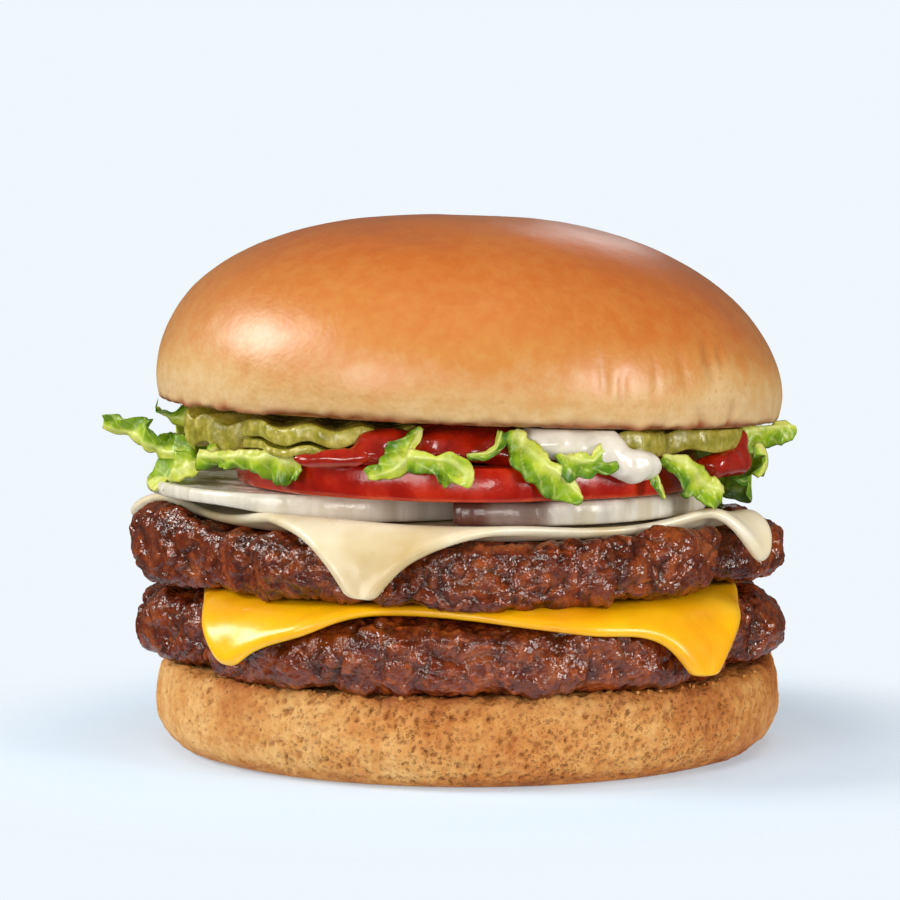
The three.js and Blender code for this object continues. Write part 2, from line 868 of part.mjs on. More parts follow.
function leaf({ spine, roll, waves, frill, phase }, grow = 0) {
  const path = new THREE.CatmullRomCurve3(spine.map(([x, y, z]) => new THREE.Vector3(x, y, z)));
  const pieces = spine.length - 1;
  return sheet(
    (u, v) => {
      const centre = path.getPoint(v);
      const ahead = path.getTangent(v);
      centre.addScaledVector(ahead, (2 * v - 1) * grow);
      const face = new THREE.Vector3(centre.x, centre.y, 0).normalize();
      face.addScaledVector(ahead, -face.dot(ahead)).normalize().applyAxisAngle(ahead, degrees(roll));
      const across = ahead.clone().cross(face);
      const piece = Math.min(Math.floor(v * pieces), pieces - 1);
      const width = THREE.MathUtils.lerp(spine[piece][3], spine[piece + 1][3], v * pieces - piece);
      const ragged = 1 + 0.25 * noise(v * 2.2 * pieces, phase, 3 * u);
      const ripple = frill * Math.sin(2 * Math.PI * waves * v + phase + 1.5 * u) * (0.3 + 0.7 * u);
      centre.addScaledVector(across, (u - 0.5) * (width * ragged + 2 * grow));
      return centre.addScaledVector(face, ripple);
    },
    2,
    Math.max(6, 3 * pieces, Math.round(3.5 * waves)),
    LEAF_THICKNESS + 2 * grow,
  );
}

// ---------------------------------------------------------------- sauces

// Each sauce is a run of overlapping drops: [x, y, z, half width, half depth, half height].
const SAUCES = {
  ketchup_front: [
    [-12, -44.6, 52.6, 6, 3.4, 2.6],
    [-4, -41, 52.7, 8, 6.5, 2.8],
    [3.5, -40, 52.6, 7, 6.5, 2.6],
  ],
  ketchup_strip: [[-20.5, -47.7, 50.3, 6.5, 1.2, 1.5]],
  ketchup_right: [
    [42, -19.5, 51.2, 3, 3.6, 2.2],
    [42.2, -22, 48.6, 3, 2.6, 2.9],
    [38.6, -26.4, 47.6, 3.4, 2.2, 2],
  ],
  mayonnaise: [
    [12.4, -44, 52.3, 6.4, 4.2, 3],
    [19.6, -44, 51.2, 5, 3.6, 3.4],
    [26.2, -41.2, 48.8, 3.4, 2.6, 2.5],
  ],
};

function sauce(drops) {
  return joined(
    drops.map(([x, y, z, ...halves]) => {
      const drop = closed(new THREE.IcosahedronGeometry(1.04, 1));
      return drop.scale(...halves).translate(x, y, z);
    }),
  );
}

// ---------------------------------------------------------------- the burger

const LOOKS = {
  bun_heel: [0xd9a566, 0.9],
  bun_crown: [0xc97b33, 0.45],
  patty: [0x5e3222, 0.5],
  cheese_orange: [0xf5b21a, 0.35],
  cheese_white: [0xeadfb8, 0.35],
  onion: [0xdcd8cc, 0.3],
  tomato: [0xb3231a, 0.25],
  pickle: [0x8f9137, 0.35],
  lettuce: [0x8fb82a, 0.5],
  ketchup: [0xa0160f, 0.15],
  mayonnaise: [0xece6d8, 0.25],
};

const burger = new THREE.Group();

function add(name, geometry) {
  const kind = Object.keys(LOOKS).find((key) => name.startsWith(key));
  const [color, roughness] = LOOKS[kind];
  const material = new THREE.MeshStandardMaterial({ color, roughness, metalness: 0 });
  const mesh = new THREE.Mesh(geometry, material);
  mesh.name = name;
  burger.add(mesh);
}

add("bun_heel", heel());
add("bun_crown", placedCrown());
for (const [name, spec] of Object.entries(PATTIES)) add(name, patty(spec));
for (const [name, spec] of Object.entries(CHEESES)) add(name, cheese(spec));
add("onion_slice", slice(ONION));
add("onion_ring", onionArc());
add("tomato_slice", slice(TOMATO));

// Soft fillings give way to what is firmer, and keep the gap from it.
const firm = [
  placedCrown(ROOM),
  slice({ ...TOMATO, radius: TOMATO.radius + ROOM, top: TOMATO.top + ROOM }),
  slice({ ...ONION, radius: ONION.radius + ROOM, base: ONION.base - ROOM, top: ONION.top + ROOM }),
];
const chips = [];
for (const [name, spec] of Object.entries(PICKLES)) {
  add(name, trimmed(pickle(spec), [...firm, ...chips]));
  chips.push(pickle(spec, ROOM));
}
const leaves = [];
for (const [name, spec] of Object.entries(LEAVES)) {
  add(name, trimmed(leaf(spec), [...firm, ...chips, ...leaves]));
  leaves.push(leaf(spec, ROOM));
}
const drops = [];
for (const [name, spec] of Object.entries(SAUCES)) {
  add(name, trimmed(sauce(spec), [...firm, ...chips, ...leaves, ...drops]));
  drops.push(sauce(spec.map(([x, y, z, ...halves]) => [x, y, z, ...halves.map((half) => half + ROOM)])));
}

export default burger;
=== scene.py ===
# A double cheeseburger dressed for rendering: fine meshes and procedural materials in place of the packed
# solids. Shapes are worked out in millimetres in the part's own frame and stored in metres.
import math
from itertools import product

import bmesh
import bpy
import numpy as np
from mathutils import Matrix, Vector


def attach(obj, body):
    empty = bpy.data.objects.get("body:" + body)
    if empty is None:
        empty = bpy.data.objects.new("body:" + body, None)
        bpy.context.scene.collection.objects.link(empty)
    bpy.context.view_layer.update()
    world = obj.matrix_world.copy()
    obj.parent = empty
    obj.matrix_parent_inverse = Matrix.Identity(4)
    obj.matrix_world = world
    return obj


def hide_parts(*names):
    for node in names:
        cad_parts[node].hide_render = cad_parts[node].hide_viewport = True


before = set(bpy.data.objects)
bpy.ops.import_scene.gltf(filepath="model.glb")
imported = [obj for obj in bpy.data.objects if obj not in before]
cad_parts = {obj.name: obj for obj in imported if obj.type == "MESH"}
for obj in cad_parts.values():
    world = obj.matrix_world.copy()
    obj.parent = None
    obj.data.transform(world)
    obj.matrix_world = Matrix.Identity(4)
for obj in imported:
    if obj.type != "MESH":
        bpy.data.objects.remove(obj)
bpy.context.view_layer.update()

FINE = 1.0  # share of the full mesh resolution
MM = 0.001  # metres

# ---------------------------------------------------------------- dimensions of the solids, in millimetres

GAP = 0.3
BUN_RADIUS = 52.0
HEEL_TOP = 14.2
LOWER_PATTY_TOP = 26.2
CHEESE_THICKNESS = 1.6
UPPER_PATTY_BASE = LOWER_PATTY_TOP + CHEESE_THICKNESS + 2 * GAP
UPPER_PATTY_TOP = 37.2
ONION_BASE = UPPER_PATTY_TOP + CHEESE_THICKNESS + 2 * GAP
ONION_TOP = 43.6
TOMATO_TOP = 49.1
CROWN_BASE = 55.5
CROWN_HEIGHT = 32.3
CROWN_SIDE = 4.0  # height of the crown's upright side
CROWN_TILT = math.radians(2.2)
DOME_POWER = 2.4  # how squarely the dome meets its side

PATTY_RADIUS = 51.0
PATTY_EDGE = 5.5
CRAG = 0.9
RISE_START = 47.0
SAG_START = 46.5
# Lobes are (azimuth, half width, reach), and rises of the upper edge and sags of the lower one (azimuth, half
# width, height), in degrees and millimetres.
PATTIES = {
    "patty_lower": {
        "base": HEEL_TOP + GAP,
        "top": LOWER_PATTY_TOP,
        "leans": 0,
        "seed": 11,
        "lobes": [(-30, 6, -3), (-2, 15, 1.6), (75, 20, 1.2), (120, 9, -2), (181, 13, 4.2), (207, 7, -3),
                  (245, 16, 1.2), (297, 20, 1.4)],
        "rises": [(-6, 16, -1.8), (186, 16, 0.4)],
        "sags": [(222, 14, 0.9), (270, 60, 0.5)],
    },
    "patty_upper": {
        "base": UPPER_PATTY_BASE,
        "top": UPPER_PATTY_TOP,
        "leans": 1,
        "seed": 29,
        "lobes": [(-33, 6, -4), (-5, 14, 1.6), (60, 9, -2), (105, 22, 1.4), (190, 15, 5), (214, 7, -1.5),
                  (236, 13, 1.4), (300, 22, 1.6)],
        "rises": [(40, 20, 1.2), (207, 25, 3), (251, 25, 2), (298, 22, 2.8), (325, 14, 2.4)],
        "sags": [(225, 24, 1.2), (250, 50, 0.6), (276, 20, 1.9)],
    },
}

BEND_RADIUS = PATTY_EDGE + CRAG + CHEESE_THICKNESS / 2 + 1.4  # of the fold over a patty's rim
HANG = math.radians(80)
CREASE_SHARE = 0.5  # of a patty's creases that the fold follows
PULL_REACH = 35  # degrees to each side of a tip within which it narrows
ROUND_CUT = 0.7  # how gently a slice's reach is limited
CUT_ALLOWANCE = 0.3  # makes up for what the gentle limit takes
# Flows of the front edge are (x, half width, reach), stretches of a corner (azimuth, half width, reach), and
# tips that narrow as they hang (azimuth, share). Where a slice hangs, its colour is deepened by a share given
# for each slice: painted shade of the drape and of the meat seen through it.
CHEESES = {
    "cheese_orange": {
        "patty": "patty_lower",
        "half": 43.3,
        "centre": (0.7, -4.4),
        "turn": -2.6,
        "corner": 4,
        "cut": 62.3,
        "tuck": 2.5,
        "flows": [(-25, 8, 2.4), (14, 18, 4.2), (30, 7, -2.2)],
        "stretches": [],
        "slack": 0.4,
        "ripple": 0.4,
        "seed": 5,
        "tips": [],
        "drape_shade_share": 0.2,
    },
    "cheese_white": {
        "patty": "patty_upper",
        "half": 38.5,
        "centre": (-3.2, -11.4),
        "turn": 27.4,
        "corner": 3,
        "cut": 62.6,
        "tuck": 0,
        "flows": [],
        "stretches": [(174, 14, 3), (330, 9, 3.6)],
        "slack": 1.5,
        "ripple": 0.6,
        "seed": 8,
        "tips": [(254, 0.32), (322, 0.15)],
        "drape_shade_share": 0.55,
    },
}

ROUNDS = ("centre", "radius", "base", "top", "lift", "wobble", "seed")
ONION = dict(zip(ROUNDS, ((-20, -5.4), 33, ONION_BASE, ONION_TOP, 2, 0.8, 41)))
TOMATO = dict(zip(ROUNDS, ((0, -12), 38, ONION_TOP + GAP, TOMATO_TOP, 0, 1.2, 17)))
ONION_ARC = {"centre": (2, -9), "inner": 34, "outer": 37.6, "from": -97, "to": 62, "raised": 0.4}

CRINKLE = 8.0  # from one ridge of a crinkle cut to the next
# Centre, radius, thickness, direction of the grooves in degrees, where they start, tilts towards the front
# and to the left in degrees, and height of the waves.
PICKLES = {
    "pickle_front_left": ((-18.5, -29, 53.75), 17, 2.6, 92, 0.4, (1.2, 1.2), 0.5),
    "pickle_under": ((-18.5, -29.6, 51.25), 16.6, 1.3, 92, 0.4, (1.2, 1.2), 0.5),
    "pickle_left": ((-32.5, -11, 53.1), 14, 4.6, 35, 0, (5, 3), 0.7),
    "pickle_right": ((30, -18, 52), 14, 3.6, 70, 1.2, (1, -2), 0.5),
    "pickle_front_right": ((19, -31, 51.8), 12, 3.8, 80, 2.2, (1, -2), 0.5),
    "pickle_back": ((6, 22, 53), 18, 2.8, 20, 0, (1, -2), 0.5),
}

# Torn strips of leaf: roll in degrees, ripples along the margin, their reach and their start, then the spine
# as (x, y, z, width).
LEAVES = {
    "lettuce_left": (
        (10, 2.2, 0.9, 0.4),
        (-44, -15, 50, 4.5), (-49.5, -14, 50, 4.5), (-52, -12, 51.4, 4), (-55.5, -9, 52.6, 3.4),
        (-60, -6, 53.6, 1.2),
    ),
    "lettuce_left_top": ((-20, 1, 0.7, 2), (-45, -5, 54.6, 3), (-49, -4, 54.7, 4), (-52, -3, 56, 1.4)),
    "lettuce_left_curl": (
        (14, 2, 0.9, 1),
        (-40, -22, 50.2, 3), (-44.5, -22.5, 48.6, 4.5), (-48, -19.5, 46.2, 4.4), (-51.5, -14, 44.6, 1.4),
    ),
    "lettuce_front_left": (
        (0, 4, 0.6, 0.8),
        (-43, -25, 48.6, 2.2), (-37.5, -32, 49, 2.6), (-32.5, -37, 49, 2.8), (-28.5, -40.2, 48.6, 3.2),
        (-25.5, -42, 47.8, 1.4),
    ),
    "lettuce_front_rib": (
        (0, 1.6, 0.6, 2.4),
        (-7.5, -47, 55.2, 2), (-9, -47.8, 53, 2.6), (-10.5, -48.5, 50.8, 4), (-13, -49, 48.9, 3),
        (-15.5, -48.4, 48, 1),
    ),
    "lettuce_front_curl": (
        (0, 1.5, 0.5, 3.6),
        (-9.5, -50.4, 50.2, 2.6), (-6.5, -50.9, 50, 3), (-3.8, -51.4, 49.4, 3.6), (-1.6, -51.6, 48, 3.4),
        (-2, -51.6, 46.8, 1.4),
    ),
    "lettuce_front_shred": (
        (0, 1, 0.4, 0.2),
        (-0.5, -49.6, 50.6, 2.2), (2.5, -49.2, 51, 1.6), (4.2, -48.6, 52.2, 1.6), (5, -47.5, 54.4, 1.6),
    ),
    "lettuce_front": (
        (0, 1.8, 0.7, 1.4),
        (6.3, -47.5, 54.6, 2.4), (7.4, -48.9, 52, 4.2), (9.8, -50.2, 49.4, 4.4), (13.5, -49.8, 46.8, 3.6),
        (16.8, -48.4, 44, 1),
    ),
    "lettuce_front_inner": (
        (0, 1.3, 0.6, 0),
        (13, -48, 50.8, 2.4), (15.6, -49, 49.4, 5), (19, -47.6, 49.6, 4.2), (21.6, -45, 52, 1.4),
    ),
    "lettuce_front_bit": (
        (0, 1, 0.4, 0),
        (27.6, -40.4, 49, 2.6), (28.6, -41.2, 46, 2.2), (29.6, -41.4, 43.6, 1),
    ),
    "lettuce_front_right": (
        (0, 2, 0.7, 2.9),
        (29.8, -38.6, 50, 2.2), (32.6, -37.6, 48.2, 3.6), (35.2, -35.8, 45.8, 4), (37.6, -33.6, 44, 3.6),
        (40, -31, 43.4, 1.4),
    ),
    "lettuce_right": (
        (-8, 2.2, 0.7, 0.9),
        (40, -14, 51.4, 4.4), (44, -15, 51.2, 5), (47.5, -12.5, 51.6, 5), (50.5, -10, 52.2, 2.8),
        (54, -8, 52.2, 1.2),
    ),
    "lettuce_right_tail": (
        (0, 1, 0.5, 1.9),
        (46, -19, 50.6, 3), (47.4, -18.6, 48.6, 3.4), (46, -20, 45.6, 1.2),
    ),
    "lettuce_back_right": (
        (8, 4.6, 1.6, 0.5),
        (48, -2, 47, 5), (46.5, 9, 46.6, 11), (41, 19, 47, 12.4), (33, 28, 47.2, 11), (25, 34, 48.6, 5),
    ),
    "lettuce_back": (
        (8, 4.2, 1.7, 2.2),
        (21, 37, 48.4, 5), (11, 41, 47.6, 11), (0, 42.5, 47.8, 12), (-10, 41, 48, 11), (-20, 37.5, 48.8, 5),
    ),
    "lettuce_back_left": (
        (8, 4.4, 1.6, 4),
        (-25, 34, 49, 5), (-33, 28.5, 48.2, 11), (-41, 20, 48, 12), (-46, 10, 48.4, 10), (-48.5, 1, 50, 4.6),
    ),
}

# Sauces as runs of drops: (x, y, z, half width, half depth, half height).
SAUCES = {
    "ketchup_front": [
        (-12, -44.6, 52.6, 6, 3.4, 2.6), (-4, -41, 52.7, 8, 6.5, 2.8), (3.5, -40, 52.6, 7, 6.5, 2.6),
    ],
    "ketchup_strip": [(-20.5, -47.7, 50.3, 6.5, 1.2, 1.5)],
    "ketchup_right": [
        (42, -19.5, 51.2, 3, 3.6, 2.2), (42.2, -22, 48.6, 3, 2.6, 2.9), (38.6, -26.4, 47.6, 3.4, 2.2, 2),
    ],
    "mayonnaise": [
        (12.4, -44, 52.3, 6.4, 4.2, 3), (19.6, -44, 51.2, 5, 3.6, 3.4), (26.2, -41.2, 48.8, 3.4, 2.6, 2.5),
    ],
}
# Thin sauce that has run down beside them, in this scene only.
THIN_SAUCE = {
    "ketchup_front": [(-15, -46, 50.7, 4.5, 2.4, 1.6), (-8.5, -46.2, 50.5, 4, 2.2, 1.5),
                      (-2, -45.6, 50.8, 5, 2.4, 1.7), (5, -44.6, 50.6, 4.5, 2.6, 1.6)],
    "ketchup_right": [(40.8, -24.2, 48.2, 2.8, 2.4, 2.5)],
    "mayonnaise": [
        (9, -45.5, 50.9, 3.5, 2.4, 2.2), (22.5, -44.5, 49.6, 3.2, 2.0, 2.6), (24.8, -43, 48.9, 3.4, 2.4, 2.6),
    ],
}


def lean(x, y):
    """How much higher than nominal the layers above the upper patty are at a place."""
    return 0.02 * (y + 48) - 0.008 * x


# ---------------------------------------------------------------- noise


def lattice(ix, iy, iz):
    """A repeatable number from -1 to 1 for each point of a lattice of unsigned 32-bit numbers."""
    h = ix * np.uint32(374761393) + iy * np.uint32(668265263) + iz * np.uint32(1442695041)
    h = (h ^ (h >> np.uint32(13))) * np.uint32(1274126177)
    h = h ^ (h >> np.uint32(16))
    return h / 4294967295 * 2 - 1


def noise(x, y, z):
    """The lattice blended smoothly between its points, one unit apart."""
    coordinates = np.broadcast_arrays(*(np.asarray(c, float) for c in (x, y, z)))
    cells = [np.floor(c) for c in coordinates]
    fades = [(c - cell) ** 2 * (3 - 2 * (c - cell)) for c, cell in zip(coordinates, cells)]
    corners = [c.astype(np.int64).astype(np.uint32) for c in cells]
    total = np.zeros(coordinates[0].shape)
    for steps in product((0, 1), repeat=3):
        weight = 1.0
        for fade, step in zip(fades, steps):
            weight = weight * (fade if step else 1 - fade)
        total += weight * lattice(*(corner + np.uint32(step) for corner, step in zip(corners, steps)))
    return total


def noise_at(points):
    return noise(*np.moveaxis(points, -1, 0))


def rough(points, size, seed, octaves=3):
    """Noise of several sizes, the first `size` millimetres across, from about -1 to 1."""
    total, weight = 0.0, 1.0
    for octave in range(octaves):
        total = total + weight * noise_at(points * (2**octave / size) + seed * 7.31 + octave * 3.7)
        weight *= 0.5
    return total


def warped(points, size, reach, seed):
    """Points pushed about by smooth noise."""
    push = [noise_at(points / size + seed + 17.3 * k) for k in range(3)]
    return points + reach * np.stack(push, -1)


def cells(points, size, seed):
    """For each point, how far the nearest and second nearest of scattered centres are, in cells, and the
    nearest one's own number from 0 to 1."""
    q = points / size + seed * 11.7
    base = np.floor(q)
    within = q - base
    nearest = np.full(q.shape[:-1], 9.0)
    second = nearest.copy()
    own = np.zeros(q.shape[:-1])
    for step in product((-1, 0, 1), repeat=3):
        corner = np.moveaxis((base + step).astype(np.int64).astype(np.uint32), -1, 0)
        jitter = np.stack([lattice(*corner + np.uint32(1000 * k + 1)) for k in range(3)], -1)
        away = np.linalg.norm(np.array(step) + 0.5 + 0.45 * jitter - within, axis=-1)
        closer = away < nearest
        second = np.where(closer, nearest, np.minimum(second, away))
        own = np.where(closer, lattice(*corner + np.uint32(7777)) * 0.5 + 0.5, own)
        nearest = np.where(closer, away, nearest)
    return nearest, second, own


def smoothstep(low, high, x):
    t = np.clip((x - low) / (high - low), 0, 1)
    return t * t * (3 - 2 * t)


def falling(low, high, x):
    return 1 - smoothstep(low, high, x)


def bell(offset, half_width):
    return np.exp(-((offset / half_width) ** 2))


def aside(azimuth, centre):
    """How far an azimuth is round from another, from -180 to 180 degrees."""
    return np.mod(azimuth - centre + 180, 360) - 180


def bumps(entries, azimuth):
    """The sum of the bumps (centre, half width, height) in each direction, in degrees."""
    total = 0.0
    for centre, width, height in entries:
        total = total + height * bell(aside(azimuth, centre), width)
    return total


def azimuth_of(x, y):
    return np.degrees(np.arctan2(y, x))


def radial(radius, azimuth, z):
    """Points at these radii, azimuths in degrees and heights."""
    turn = np.radians(azimuth)
    return np.stack(np.broadcast_arrays(radius * np.cos(turn), radius * np.sin(turn), z), -1).astype(float)


def evenly(outline, count):
    """An outline of (radius, height) points resampled to `count` points the same distance apart."""
    outline = np.array(outline, float)
    along = np.concatenate([[0], np.cumsum(np.linalg.norm(np.diff(outline, axis=0), axis=1))])
    at = np.linspace(0, along[-1], count)
    return np.stack([np.interp(at, along, outline[:, k]) for k in (0, 1)], -1)


# ---------------------------------------------------------------- meshes

collection = bpy.context.scene.collection


def fine(count):
    """A number of mesh steps at the resolution in use."""
    return int(count * FINE)


def all_round(count):
    """That many azimuths in degrees, as one row."""
    return np.linspace(-180, 180, fine(count), endpoint=False)[None, :]


def add_piece(name, points, faces, slot, nodes=(), attributes=None):
    """A piece of these points in millimetres that rides on the burger in place of these solids, its faces
    turned outwards, with a number of its own for each point under each attribute."""
    volume = 0.0
    for sides in (3, 4):
        group = np.array([face for face in faces if len(face) == sides])
        for k in range(1, sides - 1 if len(group) else 0):
            a, b, c = (points[group[:, j]] for j in (0, k, k + 1))
            volume += np.einsum("ij,ij->i", a, np.cross(b, c)).sum()
    if volume < 0:
        faces = [face[::-1] for face in faces]
    mesh = bpy.data.meshes.new(name)
    mesh.from_pydata((points * MM).tolist(), [], faces)
    mesh.shade_smooth()
    for key, values in (attributes or {}).items():
        data = mesh.attributes.new(key, "FLOAT", "POINT").data
        data.foreach_set("value", np.asarray(values, np.float32).ravel())
    mesh.materials.append(LOOKS[slot])
    piece = bpy.data.objects.new(name, mesh)
    collection.objects.link(piece)
    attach(piece, "root")
    if nodes:
        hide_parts(*nodes)


def ring_normals(rings):
    """Outward directions of a surface of rings of points, from the bottom's centre round to the top's."""
    along = np.roll(rings, -1, 1) - np.roll(rings, 1, 1)
    up = np.gradient(rings, axis=0)
    normal = np.cross(along, up)
    normal /= np.maximum(np.linalg.norm(normal, axis=-1, keepdims=True), 1e-9)
    return normal


def ring_piece(name, rings, slot, node, **attributes):
    """A piece of rings closed by a point at each end, with attributes given for the points of the rings."""
    count, segments = rings.shape[:2]
    points = np.concatenate([rings.reshape(-1, 3), [rings[0].mean(0), rings[-1].mean(0)]])
    index = np.arange(count * segments).reshape(count, segments)
    beside = np.roll(index, -1, 1)
    faces = np.stack([index[:-1], beside[:-1], beside[1:], index[1:]], -1).reshape(-1, 4).tolist()
    low, high = count * segments, count * segments + 1
    faces += [[low, b, a] for a, b in zip(index[0].tolist(), beside[0].tolist())]
    faces += [[high, a, b] for a, b in zip(index[-1].tolist(), beside[-1].tolist())]
    for key, values in attributes.items():
        values = np.broadcast_to(values, (count, segments))
        attributes[key] = np.concatenate([values.ravel(), [values[0].mean(), values[-1].mean()]])
    add_piece(name, points, faces, slot, [node], attributes)


def sheet_piece(name, middle, normal, half, slot, node, **attributes):
    """A closed sheet that thins to nothing at its border, with attributes given for its middle's points."""
    rows, columns = half.shape
    half[[0, -1], :] = 0
    half[:, [0, -1]] = 0
    upper, lower = middle + normal * half[..., None], middle - normal * half[..., None]
    top = np.arange(rows * columns).reshape(rows, columns)
    bottom = top.copy()
    bottom[1:-1, 1:-1] = rows * columns + np.arange((rows - 2) * (columns - 2)).reshape(rows - 2, columns - 2)
    points = np.concatenate([upper.reshape(-1, 3), lower[1:-1, 1:-1].reshape(-1, 3)])
    faces = []
    for index, turn in ((top, 1), (bottom, -1)):
        quad = np.stack([index[:-1, :-1], index[:-1, 1:], index[1:, 1:], index[1:, :-1]], -1).reshape(-1, 4)
        faces += quad[:, ::turn].tolist()
    for key, values in attributes.items():
        values = np.broadcast_to(values, (rows, columns))
        attributes[key] = np.concatenate([values.ravel(), values[1:-1, 1:-1].ravel()])
    add_piece(name, points, faces, slot, [node], attributes)


def taken_apart(mesh):
    """A mesh's points and faces, the mesh itself removed."""
    points = np.array([vert.co for vert in mesh.vertices])
    faces = [list(face.vertices) for face in mesh.polygons]
    bpy.data.meshes.remove(mesh)
    return points, faces


# ---------------------------------------------------------------- materials


def colour(red, green, blue):
    """A display colour from 0 to 255 as the linear one that Blender mixes."""
    shares = [c / 255 for c in (red, green, blue)]
    return (*(c / 12.92 if c <= 0.04045 else ((c + 0.055) / 1.055) ** 2.4 for c in shares), 1.0)


class Look:
    """A procedural material on one Principled shader, and short calls that build its nodes. Sizes are in
    millimetres, and colours are (red, green, blue) from 0 to 255."""

    def __init__(self, name, **sockets):
        self.material = bpy.data.materials.new(name)
        self.material.use_nodes = True
        self.tree = self.material.node_tree
        self.shader = self.tree.nodes["Principled BSDF"]
        for socket, value in sockets.items():
            self.shader.inputs[socket.replace("_", " ")].default_value = value
        self.place = self.node("ShaderNodeTexCoord").outputs["Object"]

    def node(self, kind, **settings):
        made = self.tree.nodes.new(kind)
        for key, value in settings.items():
            setattr(made, key, value)
        return made

    def feed(self, socket, value):
        """Links an output to a socket, or sets the socket to a number or colour."""
        if isinstance(value, bpy.types.NodeSocket):
            self.tree.links.new(value, socket)
        else:
            socket.default_value = colour(*value) if isinstance(value, tuple) else value

    def stretched(self, x, y, z):
        """The place on the object with each direction scaled."""
        scale = self.node("ShaderNodeVectorMath", operation="MULTIPLY")
        self.feed(scale.inputs[0], self.place)
        scale.inputs[1].default_value = (x, y, z)
        return scale.outputs[0]

    def noise(self, size, detail=3.0, roughness=0.55, distortion=0.0, place=None):
        made = self.node("ShaderNodeTexNoise")
        self.feed(made.inputs["Vector"], place or self.place)
        settings = {"Scale": 1000 / size, "Detail": detail, "Roughness": roughness, "Distortion": distortion}
        for key, value in settings.items():
            made.inputs[key].default_value = value
        return made.outputs["Fac"]

    def voronoi(self, size, feature="F1"):
        made = self.node("ShaderNodeTexVoronoi", feature=feature)
        self.feed(made.inputs["Vector"], self.place)
        made.inputs["Scale"].default_value = 1000 / size
        return made.outputs["Distance"]

    def attribute(self, name):
        return self.node("ShaderNodeAttribute", attribute_name=name).outputs["Fac"]

    def between(self, value, low, high, to_low=0.0, to_high=1.0):
        """A value from low to high carried smoothly to another range and held there."""
        made = self.node("ShaderNodeMapRange", interpolation_type="SMOOTHSTEP")
        self.feed(made.inputs["Value"], value)
        for key, number in zip(("From Min", "From Max", "To Min", "To Max"), (low, high, to_low, to_high)):
            made.inputs[key].default_value = number
        return made.outputs["Result"]

    def uneven(self, low, high, size, detail=3.0, roughness=0.55):
        """A number that wanders between two over the surface."""
        return self.between(self.noise(size, detail, roughness), 0.3, 0.7, low, high)

    def spots(self, size, core, rim, strength=1.0):
        """Scattered round spots, this strong within `core` cells of their centres and gone at `rim`."""
        return self.between(self.voronoi(size), core, rim, strength, 0.0)

    def maths(self, operation, a, b):
        made = self.node("ShaderNodeMath", operation=operation)
        self.feed(made.inputs[0], a)
        self.feed(made.inputs[1], b)
        return made.outputs[0]

    def times(self, a, b):
        return self.maths("MULTIPLY", a, b)

    def plus(self, a, b):
        return self.maths("ADD", a, b)

    def ramp(self, value, *stops):
        """Colours along a value: stops are (position, red, green, blue)."""
        made = self.node("ShaderNodeValToRGB")
        self.feed(made.inputs["Fac"], value)
        elements = made.color_ramp.elements
        while len(elements) < len(stops):
            elements.new(0.5)
        for element, (position, *tint) in zip(elements, stops):
            element.position = position
            element.color = colour(*tint)
        return made.outputs["Color"]

    def mix(self, share, a, b):
        made = self.node("ShaderNodeMix", data_type="RGBA", blend_type="MIX")
        self.feed(made.inputs["Factor"], share)
        self.feed(made.inputs[6], a)
        self.feed(made.inputs[7], b)
        return made.outputs[2]

    def relief(self, *layers):
        """Bumps one on top of another: each is (height from 0 to 1, depth in millimetres)."""
        normal = None
        for height, depth in layers:
            made = self.node("ShaderNodeBump")
            made.inputs["Distance"].default_value = depth * MM
            self.feed(made.inputs["Height"], height)
            if normal is not None:
                self.feed(made.inputs["Normal"], normal)
            normal = made.outputs["Normal"]
        return normal

    def set(self, **sockets):
        for socket, value in sockets.items():
            self.feed(self.shader.inputs[socket.replace("_", " ")], value)
        return self.material


def soft(weight, depth, red, green, blue):
    """Light under the surface: its share, its reach in millimetres and how far each colour goes."""
    radius = (red, green, blue)
    return {"Subsurface_Weight": weight, "Subsurface_Scale": depth * MM, "Subsurface_Radius": radius}


def crust_look():
    """Glazed crust, cream low down and golden brown above, with darker freckles, a browned cut edge and
    creases darkened with painted shade.
    """
    look = Look("bun_crust", Specular_IOR_Level=0.4, Coat_Roughness=0.33, **soft(0.08, 1.5, 1.0, 0.55, 0.3))
    baked = look.plus(look.attribute("baked"), look.uneven(-0.06, 0.06, 2.6, 5, 0.6))
    pale, golden = ((0.0, 226, 196, 148), (0.2, 212, 170, 110)), ((0.42, 206, 136, 62), (0.68, 198, 106, 34))
    tint = look.ramp(baked, *pale, *golden, (1.0, 174, 80, 24))
    freckles = look.times(look.spots(1.7, 0.12, 0.3, 0.8), look.between(look.noise(9), 0.45, 0.7, 0.0, 0.4))
    tint = look.mix(freckles, tint, (188, 112, 50))
    # The cut edge's real browning, and painted shade in the creases.
    tint = look.mix(look.attribute("toasted"), tint, (152, 74, 28))
    leather = (look.voronoi(0.75, "SMOOTH_F1"), 0.07)
    grain = look.relief(leather, (look.noise(0.45, 3, 0.7), 0.05), (look.noise(3.2, 2), 0.04))
    gloss = look.between(look.attribute("baked"), 0.1, 0.6, 0.55, 0.36)
    glaze = look.between(look.attribute("baked"), 0.2, 0.45, 0.05, 0.95)
    return look.set(Base_Color=tint, Roughness=gloss, Coat_Weight=glaze, Normal=grain)


